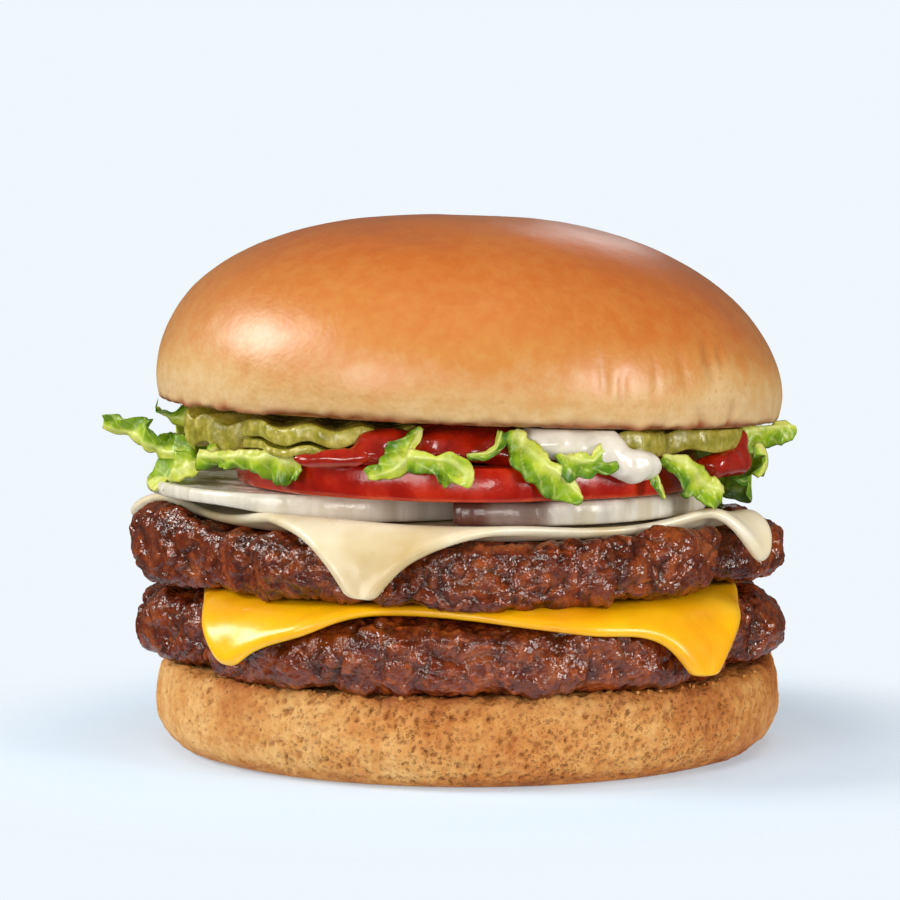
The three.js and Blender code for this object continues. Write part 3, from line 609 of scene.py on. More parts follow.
def crumb_look():
    """Toasted crumb with pores darkened by painted shade, and a juice stain with painted shade where it lies
    under the meat.
    """
    look = Look("bun_crumb", Specular_IOR_Level=0.3, **soft(0.1, 1.2, 1.0, 0.6, 0.35))
    tone = look.plus(look.attribute("baked"), look.uneven(-0.2, 0.2, 2.6, 5, 0.68))
    toast = ((0.0, 224, 176, 110), (0.35, 206, 146, 78), (0.65, 188, 118, 54), (1.0, 152, 82, 30))
    tint = look.ramp(tone, *toast)
    # Painted shade: the heel's pits darkened as if shadow lay in them.
    tint = look.mix(look.attribute("pit"), tint, (150, 84, 34))
    # Juice stain together with painted shade, where the heel lies under the patty.
    tint = look.mix(look.attribute("soaked"), tint, (120, 52, 26))
    porous = look.times(look.attribute("open"), look.between(look.noise(6, 3), 0.36, 0.56, 0.5, 1.0))
    pores = look.times(look.spots(1.0, 0.14, 0.34), porous)
    pinholes = look.times(look.spots(0.5, 0.12, 0.3), porous)
    # Painted shade: pores and pinholes darkened as if in shadow, over their bumped-in hollows.
    tint = look.mix(look.times(pores, 0.4), tint, (156, 86, 34))
    tint = look.mix(look.times(pinholes, 0.25), tint, (164, 94, 40))
    holes = look.plus(pores, look.times(pinholes, 0.5))
    grain = look.relief((holes, -0.35), (look.noise(0.35, 4, 0.7), 0.16))
    return look.set(Base_Color=tint, Roughness=look.uneven(0.55, 0.8, 2), Normal=grain)


def beef_look():
    """Seared beef, wet with juice: brown lumps, painted shade in the crevices, charred edges and fatty
    patches.
    """
    look = Look("patty", Specular_IOR_Level=0.62, **soft(0.02, 1.0, 1.0, 0.3, 0.15))
    dark, light = ((0.3, 56, 16, 7), (0.42, 92, 31, 11)), ((0.62, 152, 74, 30), (0.78, 122, 68, 38))
    tint = look.ramp(look.noise(4.2, 5, 0.7, 0.8), *dark, (0.52, 122, 48, 17), *light)
    fat = look.between(look.noise(3.4, 3, 0.6, 0.8, look.stretched(1, 1, 1.6)), 0.56, 0.66)
    tint = look.mix(look.times(fat, 0.55), tint, (180, 84, 24))
    tint = look.mix(look.attribute("grain"), tint, (146, 78, 42))
    char = look.times(look.between(look.noise(3.0, 4, 0.7), 0.5, 0.6), look.attribute("seared"))
    tint = look.mix(look.times(char, 0.65), tint, (36, 13, 6))
    # Painted shade: cracks, seams and hollows darkened to near black where shadow lies in them.
    tint = look.mix(look.attribute("crevice"), tint, (40, 11, 4))
    gloss = look.between(look.noise(1.7, 2, 0.6), 0.42, 0.58, 0.1, 0.25)
    grain = look.relief((look.noise(1.4, 2, 0.5), 0.55), (look.noise(0.6, 2, 0.6), 0.12))
    return look.set(Base_Color=tint, Roughness=gloss, Normal=grain)


def cheese_look(name, deep, middle, pale, glow):
    """Melted cheese, shaded from deep to pale at random, with painted shade on its hanging drape, smooth and
    softly glossy.
    """
    look = Look(name, Specular_IOR_Level=0.5, Coat_Weight=0.15, Coat_Roughness=0.24, **glow)
    tint = look.ramp(look.noise(14, 3, 0.5), (0.3, *deep), (0.55, *middle), (0.75, *pale))
    specks = look.times(look.spots(2.3, 0.05, 0.16, 0.35), look.between(look.noise(8), 0.5, 0.7))
    tint = look.mix(specks, tint, pale)
    # Painted shade: hanging parts deepened in colour for the drape's shadow and the meat seen through it.
    tint = look.mix(look.attribute("thin"), tint, deep)
    grain = look.relief((look.noise(4.5, 3, 0.5), 0.14), (look.noise(0.9, 2), 0.012))
    return look.set(Base_Color=tint, Roughness=look.uneven(0.27, 0.4, 6, 2), Normal=grain)


def onion_look():
    """Raw onion: nearly white and translucent, faintly striped up and down, darkened with painted shade in
    places.
    """
    glow = soft(0.5, 3, 1.0, 0.93, 0.82)
    look = Look("onion", Specular_IOR_Level=0.45, Coat_Weight=0.15, Coat_Roughness=0.14, **glow)
    fibres = look.noise(3.6, 3, 0.5, 0.4, look.stretched(1, 1, 0.15))
    tint = look.ramp(fibres, (0.3, 206, 200, 184), (0.5, 224, 220, 206), (0.7, 238, 236, 228))
    tint = look.mix(look.attribute("skin"), tint, (196, 186, 150))
    # Painted shade and painted reflection of the meat: a dark brown-red where the onion lies in shadow.
    tint = look.mix(look.attribute("stained"), tint, (84, 26, 12))
    grain = look.relief((look.noise(2.2, 2), 0.12), (look.noise(0.8, 3), 0.03))
    return look.set(Base_Color=tint, Roughness=look.between(fibres, 0.3, 0.7, 0.14, 0.3), Normal=grain)


def tomato_look():
    """A red skin, paler flesh where it is cut, and seeds in the pulp."""
    glow = soft(0.12, 2, 1.0, 0.2, 0.1)
    look = Look("tomato", Specular_IOR_Level=0.42, Coat_Weight=0.1, Coat_Roughness=0.08, **glow)
    tint = look.ramp(look.noise(6, 4, 0.55), (0.3, 144, 14, 4), (0.5, 168, 24, 6), (0.7, 194, 44, 12))
    flesh = look.ramp(look.noise(3, 3), (0.35, 206, 54, 22), (0.65, 222, 92, 44))
    tint = look.mix(look.attribute("flesh"), tint, flesh)
    seeds = look.times(look.spots(3.4, 0.1, 0.22), look.attribute("pulp"))
    tint = look.mix(seeds, tint, (226, 184, 104))
    grain = look.relief((look.noise(1.6, 3), 0.06))
    return look.set(Base_Color=tint, Roughness=look.uneven(0.14, 0.3, 3), Normal=grain)


def pickle_look():
    """Yellow-green flesh with pale seeds, and an olive, warty rind."""
    look = Look("pickle", Specular_IOR_Level=0.6, **soft(0.4, 2.5, 0.95, 1.0, 0.25))
    flesh = look.ramp(look.noise(3.2, 4, 0.6), (0.3, 184, 176, 44), (0.5, 212, 204, 78), (0.7, 230, 224, 116))
    olive = ((0.3, 124, 122, 34), (0.5, 164, 156, 56), (0.72, 206, 198, 112))
    skin = look.ramp(look.noise(1.8, 5, 0.65), *olive)
    tint = look.mix(look.attribute("rind"), flesh, skin)
    warts = look.times(look.spots(1.5, 0.1, 0.24), look.times(look.attribute("rind"), 0.5))
    tint = look.mix(warts, tint, (190, 182, 112))
    tint = look.mix(look.attribute("seed"), tint, (224, 214, 136))
    grain = look.relief((look.voronoi(1.5, "SMOOTH_F1"), 0.16), (look.noise(0.6, 3, 0.65), 0.08))
    return look.set(Base_Color=tint, Roughness=look.uneven(0.14, 0.4, 1.6), Normal=grain)


def leaf_look():
    """Crisp lettuce, from nearly white ribs to a bright green margin."""
    look = Look("lettuce", Specular_IOR_Level=0.45, **soft(0.3, 1.2, 0.7, 1.0, 0.12))
    shade = look.plus(look.attribute("green"), look.uneven(-0.2, 0.2, 2.6, 4, 0.6))
    greens = ((0.0, 222, 226, 122), (0.3, 190, 208, 58), (0.6, 140, 176, 28), (1.0, 72, 118, 14))
    tint = look.ramp(shade, *greens)
    tint = look.mix(look.attribute("vein"), tint, (216, 226, 138))
    grain = look.relief((look.voronoi(1.3, "SMOOTH_F1"), 0.18), (look.noise(0.5, 3), 0.05))
    return look.set(Base_Color=tint, Roughness=look.uneven(0.26, 0.44, 2), Normal=grain)


def sauce_look(name, dark, light, glow, coat):
    """A glossy sauce, slightly uneven in colour and surface, under a coat of this roughness."""
    look = Look(name, Specular_IOR_Level=0.55, Coat_Weight=0.5, Coat_Roughness=coat, **glow)
    tint = look.ramp(look.noise(2.2, 4, 0.6), (0.3, *dark), (0.7, *light))
    grain = look.relief((look.noise(1.5, 2), 0.05))
    return look.set(Base_Color=tint, Roughness=look.uneven(0.12, 0.22, 1.1, 3), Normal=grain)


ORANGE_SHADES = ((238, 156, 0), (252, 188, 4), (255, 206, 30))
WHITE_SHADES = ((200, 176, 124), (230, 220, 190), (238, 233, 216))
KETCHUP_SHADES = ((132, 16, 5), (176, 34, 9))
MAYONNAISE_SHADES = ((226, 220, 204), (238, 234, 224))
LOOKS = {
    "bun_crust": crust_look(),
    "bun_crumb": crumb_look(),
    "patty": beef_look(),
    "cheese_orange": cheese_look("cheese_orange", *ORANGE_SHADES, soft(0.3, 2.5, 1.0, 0.62, 0.1)),
    "cheese_white": cheese_look("cheese_white", *WHITE_SHADES, soft(0.4, 2.5, 1.0, 0.85, 0.6)),
    "onion": onion_look(),
    "tomato": tomato_look(),
    "pickle": pickle_look(),
    "lettuce": leaf_look(),
    "ketchup": sauce_look("ketchup", *KETCHUP_SHADES, soft(0.12, 1.5, 1.0, 0.15, 0.08), 0.06),
    "mayonnaise": sauce_look("mayonnaise", *MAYONNAISE_SHADES, soft(0.4, 2, 1.0, 0.9, 0.75), 0.12),
}


# ---------------------------------------------------------------- bun


def grooved(azimuth, height, grooves):
    """Depth from 0 to 1 of upright creases: each is (azimuth, half width, lowest, highest, depth, wander)."""
    total = np.zeros(np.broadcast(azimuth, height).shape)
    for k, (centre, width, low, high, depth, wander) in enumerate(grooves):
        line = centre + wander * noise(height / 3.5, k * 5.1, 2)
        along = smoothstep(low, low + 2.5, height) * falling(high - 3.5, high, height)
        total = np.maximum(total, depth * bell(azimuth - line, width) * along)
    return total


# Creases of the crown's lower side, thickest at the front right.
CREASES = [
    (-67.5, 0.9, 4, 13, 0.5, 0.9),
    (-63.0, 0.8, 2, 10.5, 0.5, 1.0),
    (-57.5, 0.6, 4, 12.5, 0.4, 0.8),
    (-50.5, 0.6, 5, 14, 0.4, 0.8),
    (-72, 0.6, -1, 2.5, 1.0, 0.5),
    (-55, 0.9, -1, 3.0, 1.0, 0.8),
    (-46, 1.0, -1, 4.5, 1.0, 0.9),
    (-38, 1.0, -1, 6.0, 1.0, 0.9),
    (-43, 1.4, 6, 15, 0.8, 1.2),
    (-40, 0.9, 8, 14, 0.7, 1.4),
    (-83, 0.8, -1, 3.0, 0.8, 0.8),
    (-104, 0.7, -1, 2.2, 0.6, 0.8),
    (-131, 0.9, 4, 9, 0.4, 1.0),
    (12, 1.1, -1, 6, 0.9, 1.2),
    (48, 1.2, 2, 11, 0.8, 1.6),
    (95, 0.9, -1, 4, 0.9, 1.0),
    (133, 1.1, 3, 9, 0.7, 1.5),
    (170, 0.8, -1, 3, 0.8, 1.0),
]
CREASE_DEPTH = 0.55
# Where the crust's lower side stays pale further up, (azimuth, half width, height), and its browner patch.
PALE_SIDES = [(-33, 30, 3.4), (205, 26, 3.2), (70, 40, 2.0)]
BROWN_PATCH = [(-30, 26, 1)]


def crown():
    """The glazed top half of the bun, from its flat underside over the cut edge to the top."""
    azimuth = all_round(440)
    under = evenly([(1.5, 0), (50.2, 0)], fine(14))
    corner = [(50.4, 0.02), (50.9, 0.15), (51.3, 0.5), (51.6, 1.2), (51.85, 2.4), (BUN_RADIUS, CROWN_SIDE)]
    low = np.concatenate([under, evenly(corner, fine(16))])
    rise = np.sin(np.radians(np.linspace(1.5, 88.5, fine(72)))[:, None])
    fullness = 2 - 0.2 * np.cos(np.radians(azimuth))
    dome = BUN_RADIUS * (1 - rise**fullness) ** (1 / DOME_POWER)
    radius = np.concatenate([np.broadcast_to(low[:, :1], (len(low), azimuth.shape[1])), dome])
    height = np.concatenate([low[:, 1], CROWN_SIDE + (CROWN_HEIGHT - CROWN_SIDE) * rise[:, 0]])[:, None]
    rings = radial(radius, azimuth, height)
    uneven = noise(rings[..., 0] / 30, rings[..., 1] / 30, 3 + height / 30)
    swell = 1 + 0.006 * uneven * smoothstep(0, 1, height)
    rings[..., :2] *= swell[..., None]
    normal = ring_normals(rings)
    face = len(under)
    relief = 0.16 * noise_at(rings / 9) + 0.05 * rough(rings, 4.2, 5)
    crease = grooved(azimuth, height, CREASES)
    relief -= CREASE_DEPTH * crease
    rim = bell(height - 0.4, 0.7) * smoothstep(49, 51, radius)
    relief += rim * (0.25 * noise(azimuth / 1.3, 0, height) + 0.2 * noise(azimuth / 4, 3, height))
    pores, _, own = cells(rings, 1.7, 3)
    relief[:face] = -0.35 * falling(0.1, 0.2 + 0.4 * own[:face], pores[:face])
    rings += normal * (relief * np.minimum(1, radius / 6))[..., None]
    level = height - bumps(PALE_SIDES, azimuth) - 1.4 * noise(azimuth / 14, 0, 4) + 1.3 * rough(rings, 12, 2)
    baked = 0.08 + 0.3 * smoothstep(-1, 9, level) + 0.14 * smoothstep(7, 19, level)
    baked = baked + 0.2 * smoothstep(17, 31, level)
    baked = baked + 0.2 * bumps(BROWN_PATCH, azimuth) * smoothstep(8, 15, height) * smoothstep(2, 26, radius)
    baked = baked + 0.08 * noise_at(rings / 24) * smoothstep(8, 16, height)
    baked[:face] = 0.2 + 0.25 * noise_at(rings[:face] / 7)
    line = bell(height - 0.1, 0.75 + 0.35 * noise(azimuth / 3, 0, 9)) * smoothstep(49.4, 50.8, radius)
    # Browning along the cut edge, plus painted shade in the creases.
    toasted = np.clip(line * (0.9 + 0.2 * noise(azimuth / 2, 5, 0)) + 0.25 * crease, 0, 1)
    x, z = rings[..., 0].copy(), rings[..., 2].copy()
    rings[..., 0] = x * math.cos(CROWN_TILT) + z * math.sin(CROWN_TILT)
    rings[..., 2] = z * math.cos(CROWN_TILT) - x * math.sin(CROWN_TILT) + CROWN_BASE
    ring_piece("crown", rings, "bun_crust", "bun_crown", baked=baked, toasted=toasted)


def heel():
    """The porous bottom half of the bun, most open at the front and at the back left."""
    azimuth = all_round(860)
    lower = [(46 + 6 * math.sin(t), 7.5 * (1 - math.cos(t))) for t in np.linspace(0, math.pi / 2, 30)]
    upper = [(51.95, 9.8), (51.55, 12.2), (51.1, 13.3), (50.4, 14.0), (49.6, HEEL_TOP), (44, HEEL_TOP)]
    base = evenly([(2, 0), (45.8, 0)], 8)
    cover = evenly([(43, HEEL_TOP), (2, HEEL_TOP)], 8)
    outline = np.concatenate([base, evenly(lower + upper, fine(64)), cover])
    radius, height = outline[:, :1], outline[:, 1:]
    rings = radial(radius, azimuth, height)
    edge = smoothstep(45.5, 48, radius) * smoothstep(0.1, 1.0, height)
    swell = 1 + edge * 0.5 * noise(rings[..., 0] / 16, rings[..., 1] / 16, 7) / np.maximum(radius, 1)
    rings[..., :2] *= swell[..., None]
    normal = ring_normals(rings)
    front = bell(azimuth + 78, 52) + 0.75 * np.exp(-((np.abs(azimuth) - 140) ** 2) / 1500) * (azimuth > 0)
    open_share = np.clip(0.42 + 0.6 * front + 0.25 * rough(rings, 11, 8, 2), 0, 1)
    bent = warped(rings, 2.0, 0.45, 4)
    far, _, own = cells(bent * np.array([1, 1, 0.8]), 1.5, 1)
    pit = (own < open_share * 0.9) * falling(0.12, 0.24 + 0.34 * own, far)
    near, _, number = cells(bent, 0.95, 2)
    pinhole = (number < 0.3 + 0.65 * open_share) * falling(0.1, 0.5, near)
    relief = -0.6 * pit - 0.3 * pinhole + 0.2 * rough(rings, 5, 9) + 0.12 * rough(rings, 1.2, 12)
    relief += 0.5 * smoothstep(12.4, 14, rings[..., 2]) * rough(rings, 2.0, 15) * smoothstep(46, 49, radius)
    rings += normal * (relief * edge)[..., None]
    rings[..., 2] = np.maximum(rings[..., 2], 0)
    baked = 0.4 - 0.14 * np.cos(np.radians(azimuth - 205)) + 0.25 * rough(rings, 13, 3, 2)
    baked = baked + 0.35 * falling(0.3, 3.2, rings[..., 2]) + 0.15 * smoothstep(12.8, 14.2, rings[..., 2])
    patches = 0.35 + 0.65 * smoothstep(-0.1, 0.4, rough(rings, 9, 14))
    # Juice stain and painted shade along the heel's top edge under the patty, strongest at the front.
    soaked = smoothstep(11.2, 14.2, rings[..., 2] + 1.6 * rough(rings, 4.5, 6)) * patches
    soaked = soaked * (0.35 + 0.65 * bumps([(-78, 45, 1)], azimuth))
    # Painted shade for the pits and pinholes, handed to the crumb as its pit attribute.
    dark = np.clip(0.6 * pit + 0.35 * pinhole, 0, 1) * edge
    attributes = {"baked": np.clip(baked, 0, 1), "soaked": 0.6 * soaked, "open": open_share * edge}
    ring_piece("heel", rings, "bun_crumb", "bun_heel", pit=dark, **attributes)


# ---------------------------------------------------------------- beef


def sag(spec, x, y):
    """How far a patty's lower edge hangs below its nominal height."""
    return bumps(spec["sags"], azimuth_of(x, y)) * smoothstep(SAG_START, BUN_RADIUS, np.hypot(x, y))


def face_shift(spec, x, y, start=RISE_START):
    """How far a patty's upper face is above or below its nominal height."""
    rise = bumps(spec["rises"], azimuth_of(x, y)) * smoothstep(start, PATTY_RADIUS, np.hypot(x, y))
    return spec["leans"] * lean(x, y) + rise


def patty(name):
    """A craggy patty: lumps, granules, cracks and furrows laid over the rounded edge."""
    spec = PATTIES[name]
    seed, base, top = spec["seed"], spec["base"], spec["top"]
    tall = top - base
    inner = PATTY_RADIUS - PATTY_EDGE
    swing = np.radians(np.linspace(-90, 90, 400))
    climb = np.sign(swing) * np.abs(np.sin(swing)) ** 0.7
    fullness = np.where(swing > 0, 1.0, 0.5)
    reach = inner + PATTY_EDGE * np.maximum(np.cos(swing), 0) ** fullness
    rim = np.stack([reach, base + tall / 2 * (1 + climb)], -1)
    under = evenly([(3, base), (inner - 1, base)], 6)
    cover = evenly([(inner - 0.6, top), (3, top)], 8)
    outline = np.concatenate([under, evenly(rim, fine(64)), cover])
    azimuth = all_round(940)
    radius = outline[:, :1]
    rings = radial(radius, azimuth, outline[:, 1:])
    outward = radius / PATTY_RADIUS
    crag = CRAG * noise_at(rings / 5 + np.array([0, 0, seed]))
    swell = 1 + (bumps(spec["lobes"], azimuth) * outward**3 + crag * smoothstep(0.8, 1, outward)) / radius
    middle = (base + top) / 2
    squeeze = 1 - 0.05 * (1 + noise(rings[..., 0] / 7, rings[..., 1] / 7, seed))
    rings[..., 2] = middle + (rings[..., 2] - middle) * squeeze
    rings[..., :2] *= swell[..., None]
    x, y = rings[..., 0], rings[..., 1]
    share = (rings[..., 2] - base) / tall
    rings[..., 2] += face_shift(spec, x, y) * share - sag(spec, x, y) * (1 - share)
    normal = ring_normals(rings)
    bent = warped(warped(rings, 6.0, 1.6, seed), 2.4, 0.7, seed + 1)
    near, next_near, own = cells(bent, 3.6, seed)
    lump = falling(0.0, 0.95, near)
    crack = falling(0.0, 0.22, next_near - near) * smoothstep(-0.35, 0.25, rough(rings, 6, seed + 5, 2))
    close, next_close, number = cells(warped(rings, 1.5, 0.5, seed + 3), 1.35, seed + 1)
    granule = falling(0.05, 0.85, close)
    furrow = falling(0.0, 0.16, np.abs(noise_at(bent / 8.5 + seed)))
    relief = 0.1 + 0.8 * rough(bent, 6.5, seed, 2) + 0.45 * rough(bent, 2.9, seed + 7, 2)
    relief = relief + 0.2 * (lump - 0.4) * own - 0.3 * crack
    relief += 0.3 * (granule - 0.4) * (0.3 + 0.7 * number) + 0.14 * rough(rings, 0.9, seed, 2) - 0.3 * furrow
    relief = np.minimum(relief, 1.0) * (0.3 + 0.7 * smoothstep(0.72, 0.95, outward))
    rings += normal * relief[..., None]
    seam = np.maximum(0.6 * furrow, 0.6 * falling(0.02, 0.2, next_close - close))
    # Painted shade: how dark each crack, seam and hollow is painted, in place of the shadow in it.
    crevice = np.clip(0.5 * crack + 0.45 * seam - 0.45 * np.minimum(relief + 0.1, 0), 0, 0.95)
    grain = np.clip(0.4 * granule * smoothstep(0.55, 0.9, number), 0, 1)
    seared = np.clip(smoothstep(0.45, 0.95, share) + 0.6 * falling(0.02, 0.16, share), 0, 1)
    piece_name = name.replace("patty", "beef")
    ring_piece(piece_name, rings, "patty", name, crevice=crevice, grain=grain, seared=seared)


# ---------------------------------------------------------------- cheese


def draped(x, y, spec):
    """Where points of a flat slice come to lie, flat on the patty, bent over its rim and hanging beside it,
    and how far each is past the start of the bend."""
    under = PATTIES[spec["patty"]]
    followed = [(centre, width, max(reach, CREASE_SHARE * reach)) for centre, width, reach in under["lobes"]]

    def shoulder_at(azimuth):
        return PATTY_RADIUS - PATTY_EDGE + bumps(followed, azimuth) + spec["slack"]

    azimuth = azimuth_of(x, y)
    radius = np.hypot(x, y)
    radius = radius + bumps(spec["stretches"], azimuth) * smoothstep(44, 54, radius)
    for tip, share in spec["tips"]:
        away = aside(azimuth, tip)
        narrowing = share * smoothstep(0, 12, radius - shoulder_at(azimuth))
        azimuth = azimuth - np.where(np.abs(away) < PULL_REACH, away * narrowing, 0)
    shoulder = shoulder_at(azimuth)
    over = np.maximum(radius - shoulder, 0)
    angle = np.minimum(over / BEND_RADIUS, HANG)
    straight = over - BEND_RADIUS * angle
    out = np.minimum(radius, shoulder) + BEND_RADIUS * np.sin(angle) + straight * math.cos(HANG)
    out = out + spec["ripple"] * smoothstep(2, 9, over) * (1 + noise(x / 9, y / 9, spec["seed"]))
    down = BEND_RADIUS * (1 - np.cos(angle)) + straight * math.sin(HANG)
    place = radial(out, azimuth, 0)
    lift = face_shift(under, place[..., 0], place[..., 1], RISE_START - 2)
    place[..., 2] = under["top"] + GAP + CHEESE_THICKNESS / 2 - down + lift
    return place, over


def melted(x, y, spec):
    """Where points of a slice's square are once its corners have melted round and its front edge has run."""
    half, corner = spec["half"], spec["corner"]
    towards_front = 0.5 - y / half / 2
    to_left = np.maximum(-x / half, 0)
    beyond_x, beyond_y = np.abs(x) - (half - corner), np.abs(y) - (half - corner)
    at_corner = (beyond_x > 0) & (beyond_y > 0)
    shrink = np.maximum(beyond_x, beyond_y) / np.maximum(np.hypot(beyond_x, beyond_y), 1e-6)
    x = np.where(at_corner, np.sign(x) * (half - corner + beyond_x * shrink), x)
    y = np.where(at_corner, np.sign(y) * (half - corner + beyond_y * shrink), y)
    for centre, width, reach in spec["flows"]:
        y = y - reach * towards_front * bell(x - centre, width)
    x = x + spec["tuck"] * smoothstep(5, 40, -y) * to_left
    turn = math.radians(spec["turn"])
    flat_x = spec["centre"][0] + x * math.cos(turn) - y * math.sin(turn)
    flat_y = spec["centre"][1] + x * math.sin(turn) + y * math.cos(turn)
    reach = np.hypot(flat_x, flat_y)
    beyond = np.clip(reach - spec["cut"], -30, 30)
    trimmed = spec["cut"] + CUT_ALLOWANCE + beyond - ROUND_CUT * np.logaddexp(0, beyond / ROUND_CUT)
    limit = np.where(flat_y < -30, np.minimum(reach, trimmed) / reach, 1)
    return flat_x * limit, flat_y * limit


def cheese(name):
    """A slice with a rounded border, thicker along its hanging edge."""
    spec = CHEESES[name]
    half = spec["half"]
    lip = 1.1  # width of the rounded border
    inside = np.linspace(-1, 1, fine(116))
    inside = np.sign(inside) * np.abs(inside) ** 0.62 * (half - lip)
    rounding = half - lip + lip * np.sin(np.radians([18, 36, 54, 72, 90]))
    line = np.concatenate([-rounding[::-1], inside, rounding])
    x, y = np.meshgrid(line, line)
    from_edge = half - np.maximum(np.abs(x), np.abs(y))
    x, y = melted(x, y, spec)
    place, over = draped(x, y, spec)
    step = 0.2
    east = draped(x + step, y, spec)[0] - draped(x - step, y, spec)[0]
    north = draped(x, y + step, spec)[0] - draped(x, y - step, spec)[0]
    normal = np.cross(east, north)
    normal /= np.linalg.norm(normal, axis=-1, keepdims=True)
    hanging = smoothstep(1, 10, over)
    azimuth = azimuth_of(place[..., 0], place[..., 1])
    wave = 0.45 * np.sin(np.radians(azimuth * 11 + 40 * spec["seed"]))
    wave = wave + 0.4 * noise(x / 8, y / 8, spec["seed"] + 3)
    place = place + normal * (hanging * wave)[..., None]
    roll = np.sqrt(np.clip(1 - (1 - np.minimum(from_edge / lip, 1)) ** 2, 0, 1))
    bead = 1 + 0.3 * hanging * bell(from_edge - 1.4, 1.3)
    thick = CHEESE_THICKNESS / 2 * roll * bead * (1 + 0.08 * noise(x / 5, y / 5, 3))
    # Painted shade on the hanging drape, away from its edges.
    thin = smoothstep(3, 11, over) * smoothstep(2.5, 8, from_edge) * spec["drape_shade_share"]
    sheet_piece(name.replace("cheese", "slice"), place, normal, thick, name, name, thin=thin)


# ---------------------------------------------------------------- onion and tomato


def round_slice(spec, segments, face_rings, rim_rings):
    """Outline, azimuths and rings of a round slice whose rim bulges a little."""
    base, top, bulge = spec["base"], spec["top"], 0.2
    tall = top - base
    swing = np.radians(np.linspace(-90, 90, fine(rim_rings)))
    depth = tall * 0.2
    reach = spec["radius"] - depth + (depth + bulge) * np.cos(swing) ** 0.5
    rim = np.stack([reach, (base + top) / 2 + tall / 2 * np.sin(swing)], -1)
    across = np.linspace(1.0, spec["radius"] - depth - 0.3, fine(face_rings))
    under = np.stack([across, np.full(len(across), base)], -1)
    cover = np.stack([across[::-1], np.full(len(across), top)], -1)
    outline = np.concatenate([under, rim, cover])
    azimuth = all_round(segments)
    return outline[:, :1], outline[:, 1:], azimuth, radial(outline[:, :1], azimuth, outline[:, 1:])


def inwards(rings, spec):
    """Up on a slice's lower face and down on its upper one."""
    return np.where(rings[..., 2] > (spec["base"] + spec["top"]) / 2, -1, 1)


def settled(rings, spec):
    """A slice's rings with its uneven rim, moved to where it lies."""
    swell = 1 + spec["wobble"] * noise(rings[..., 0] / 18, rings[..., 1] / 18, spec["seed"]) / spec["radius"]
    rings[..., 0] = spec["centre"][0] + rings[..., 0] * swell
    rings[..., 1] = spec["centre"][1] + rings[..., 1] * swell
    drop = (spec["top"] - rings[..., 2]) / (spec["top"] - spec["base"])
    lift = spec["lift"] * smoothstep(20, 42, -rings[..., 0]) * drop
    rings[..., 2] += lift + lean(rings[..., 0], rings[..., 1])
    return rings


def onion_slice():
    """A slice of onion whose layers part in shallow rings, darkened at its front right rim with painted
    shade.
    """
    radius, height, azimuth, rings = round_slice(ONION, 240, 40, 18)
    rim = ONION["radius"]
    layer_width = 4.2
    layer = np.mod(radius + 0.4 * noise(rings[..., 0] / 12, rings[..., 1] / 12, 3), layer_width) / layer_width
    groove = bell(layer - 0.5, 0.1) * smoothstep(3, 6, radius) * falling(rim - 2, rim - 1.4, radius)
    rings[..., 2] += inwards(rings, ONION) * groove * 0.45
    flutes = 0.1 * noise(azimuth / 4.5, height / 8, 1) * smoothstep(rim - 2, rim - 0.5, radius)
    rings[..., :2] *= (1 + flutes / rim)[..., None]
    at_rim = smoothstep(rim - 1, rim, radius)
    skin = smoothstep(0.3, 1.0, groove) * 0.5 + 0.2 * at_rim * smoothstep(0.1, 0.6, noise(azimuth / 7, 0, 2))
    # Painted shade on the front right of the rim.
    stained = 0.55 * at_rim * bumps([(-50, 22, 1)], azimuth) * (0.7 + 0.3 * noise(azimuth / 5, 0, 8))
    ring_piece("onion_round", settled(rings, ONION), "onion", "onion_slice", skin=skin, stained=stained)


def onion_arc():
    """A broken ring of onion beside the slice: a rounded band bent round, with painted shade at its front
    end.
    """
    spec = ONION_ARC
    steps = fine(220)
    azimuth = np.linspace(spec["from"], spec["to"], steps)[:, None]
    turn = np.linspace(0, 2 * math.pi, 28, endpoint=False)
    from_end = np.minimum(np.arange(steps), np.arange(steps)[::-1])[:, None]
    ends = np.sqrt(np.clip(1 - (1 - np.minimum(from_end / 2, 1)) ** 2, 0.75, 1))
    wide, tall = (spec["outer"] - spec["inner"]) / 2, (ONION_TOP - ONION_BASE - spec["raised"]) / 2
    across = np.sign(np.cos(turn)) * np.abs(np.cos(turn)) ** 0.55 * wide * ends
    upward = np.sign(np.sin(turn)) * np.abs(np.sin(turn)) ** 0.55 * tall * ends
    radius = (spec["inner"] + spec["outer"]) / 2 + across + 0.25 * noise(azimuth / 9, 4, 0)
    radius = radius + 0.07 * noise(azimuth / 1.7, upward / 5, 6)
    band = radial(radius, azimuth, (ONION_BASE + spec["raised"] + ONION_TOP) / 2 + upward)
    band[..., 0] += spec["centre"][0]
    band[..., 1] += spec["centre"][1]
    band[..., 2] += lean(band[..., 0], band[..., 1])
    skin = 0.5 * smoothstep(0, 0.5, noise(azimuth / 6, 0, 5))
    # Painted shade and painted reflection of the meat on the front end of the band.
    stained = 0.95 * falling(-92, -52, azimuth + 7 * noise(azimuth / 4, 0, 3))
    ring_piece("onion_arc", band, "onion", "onion_ring", skin=skin, stained=stained)


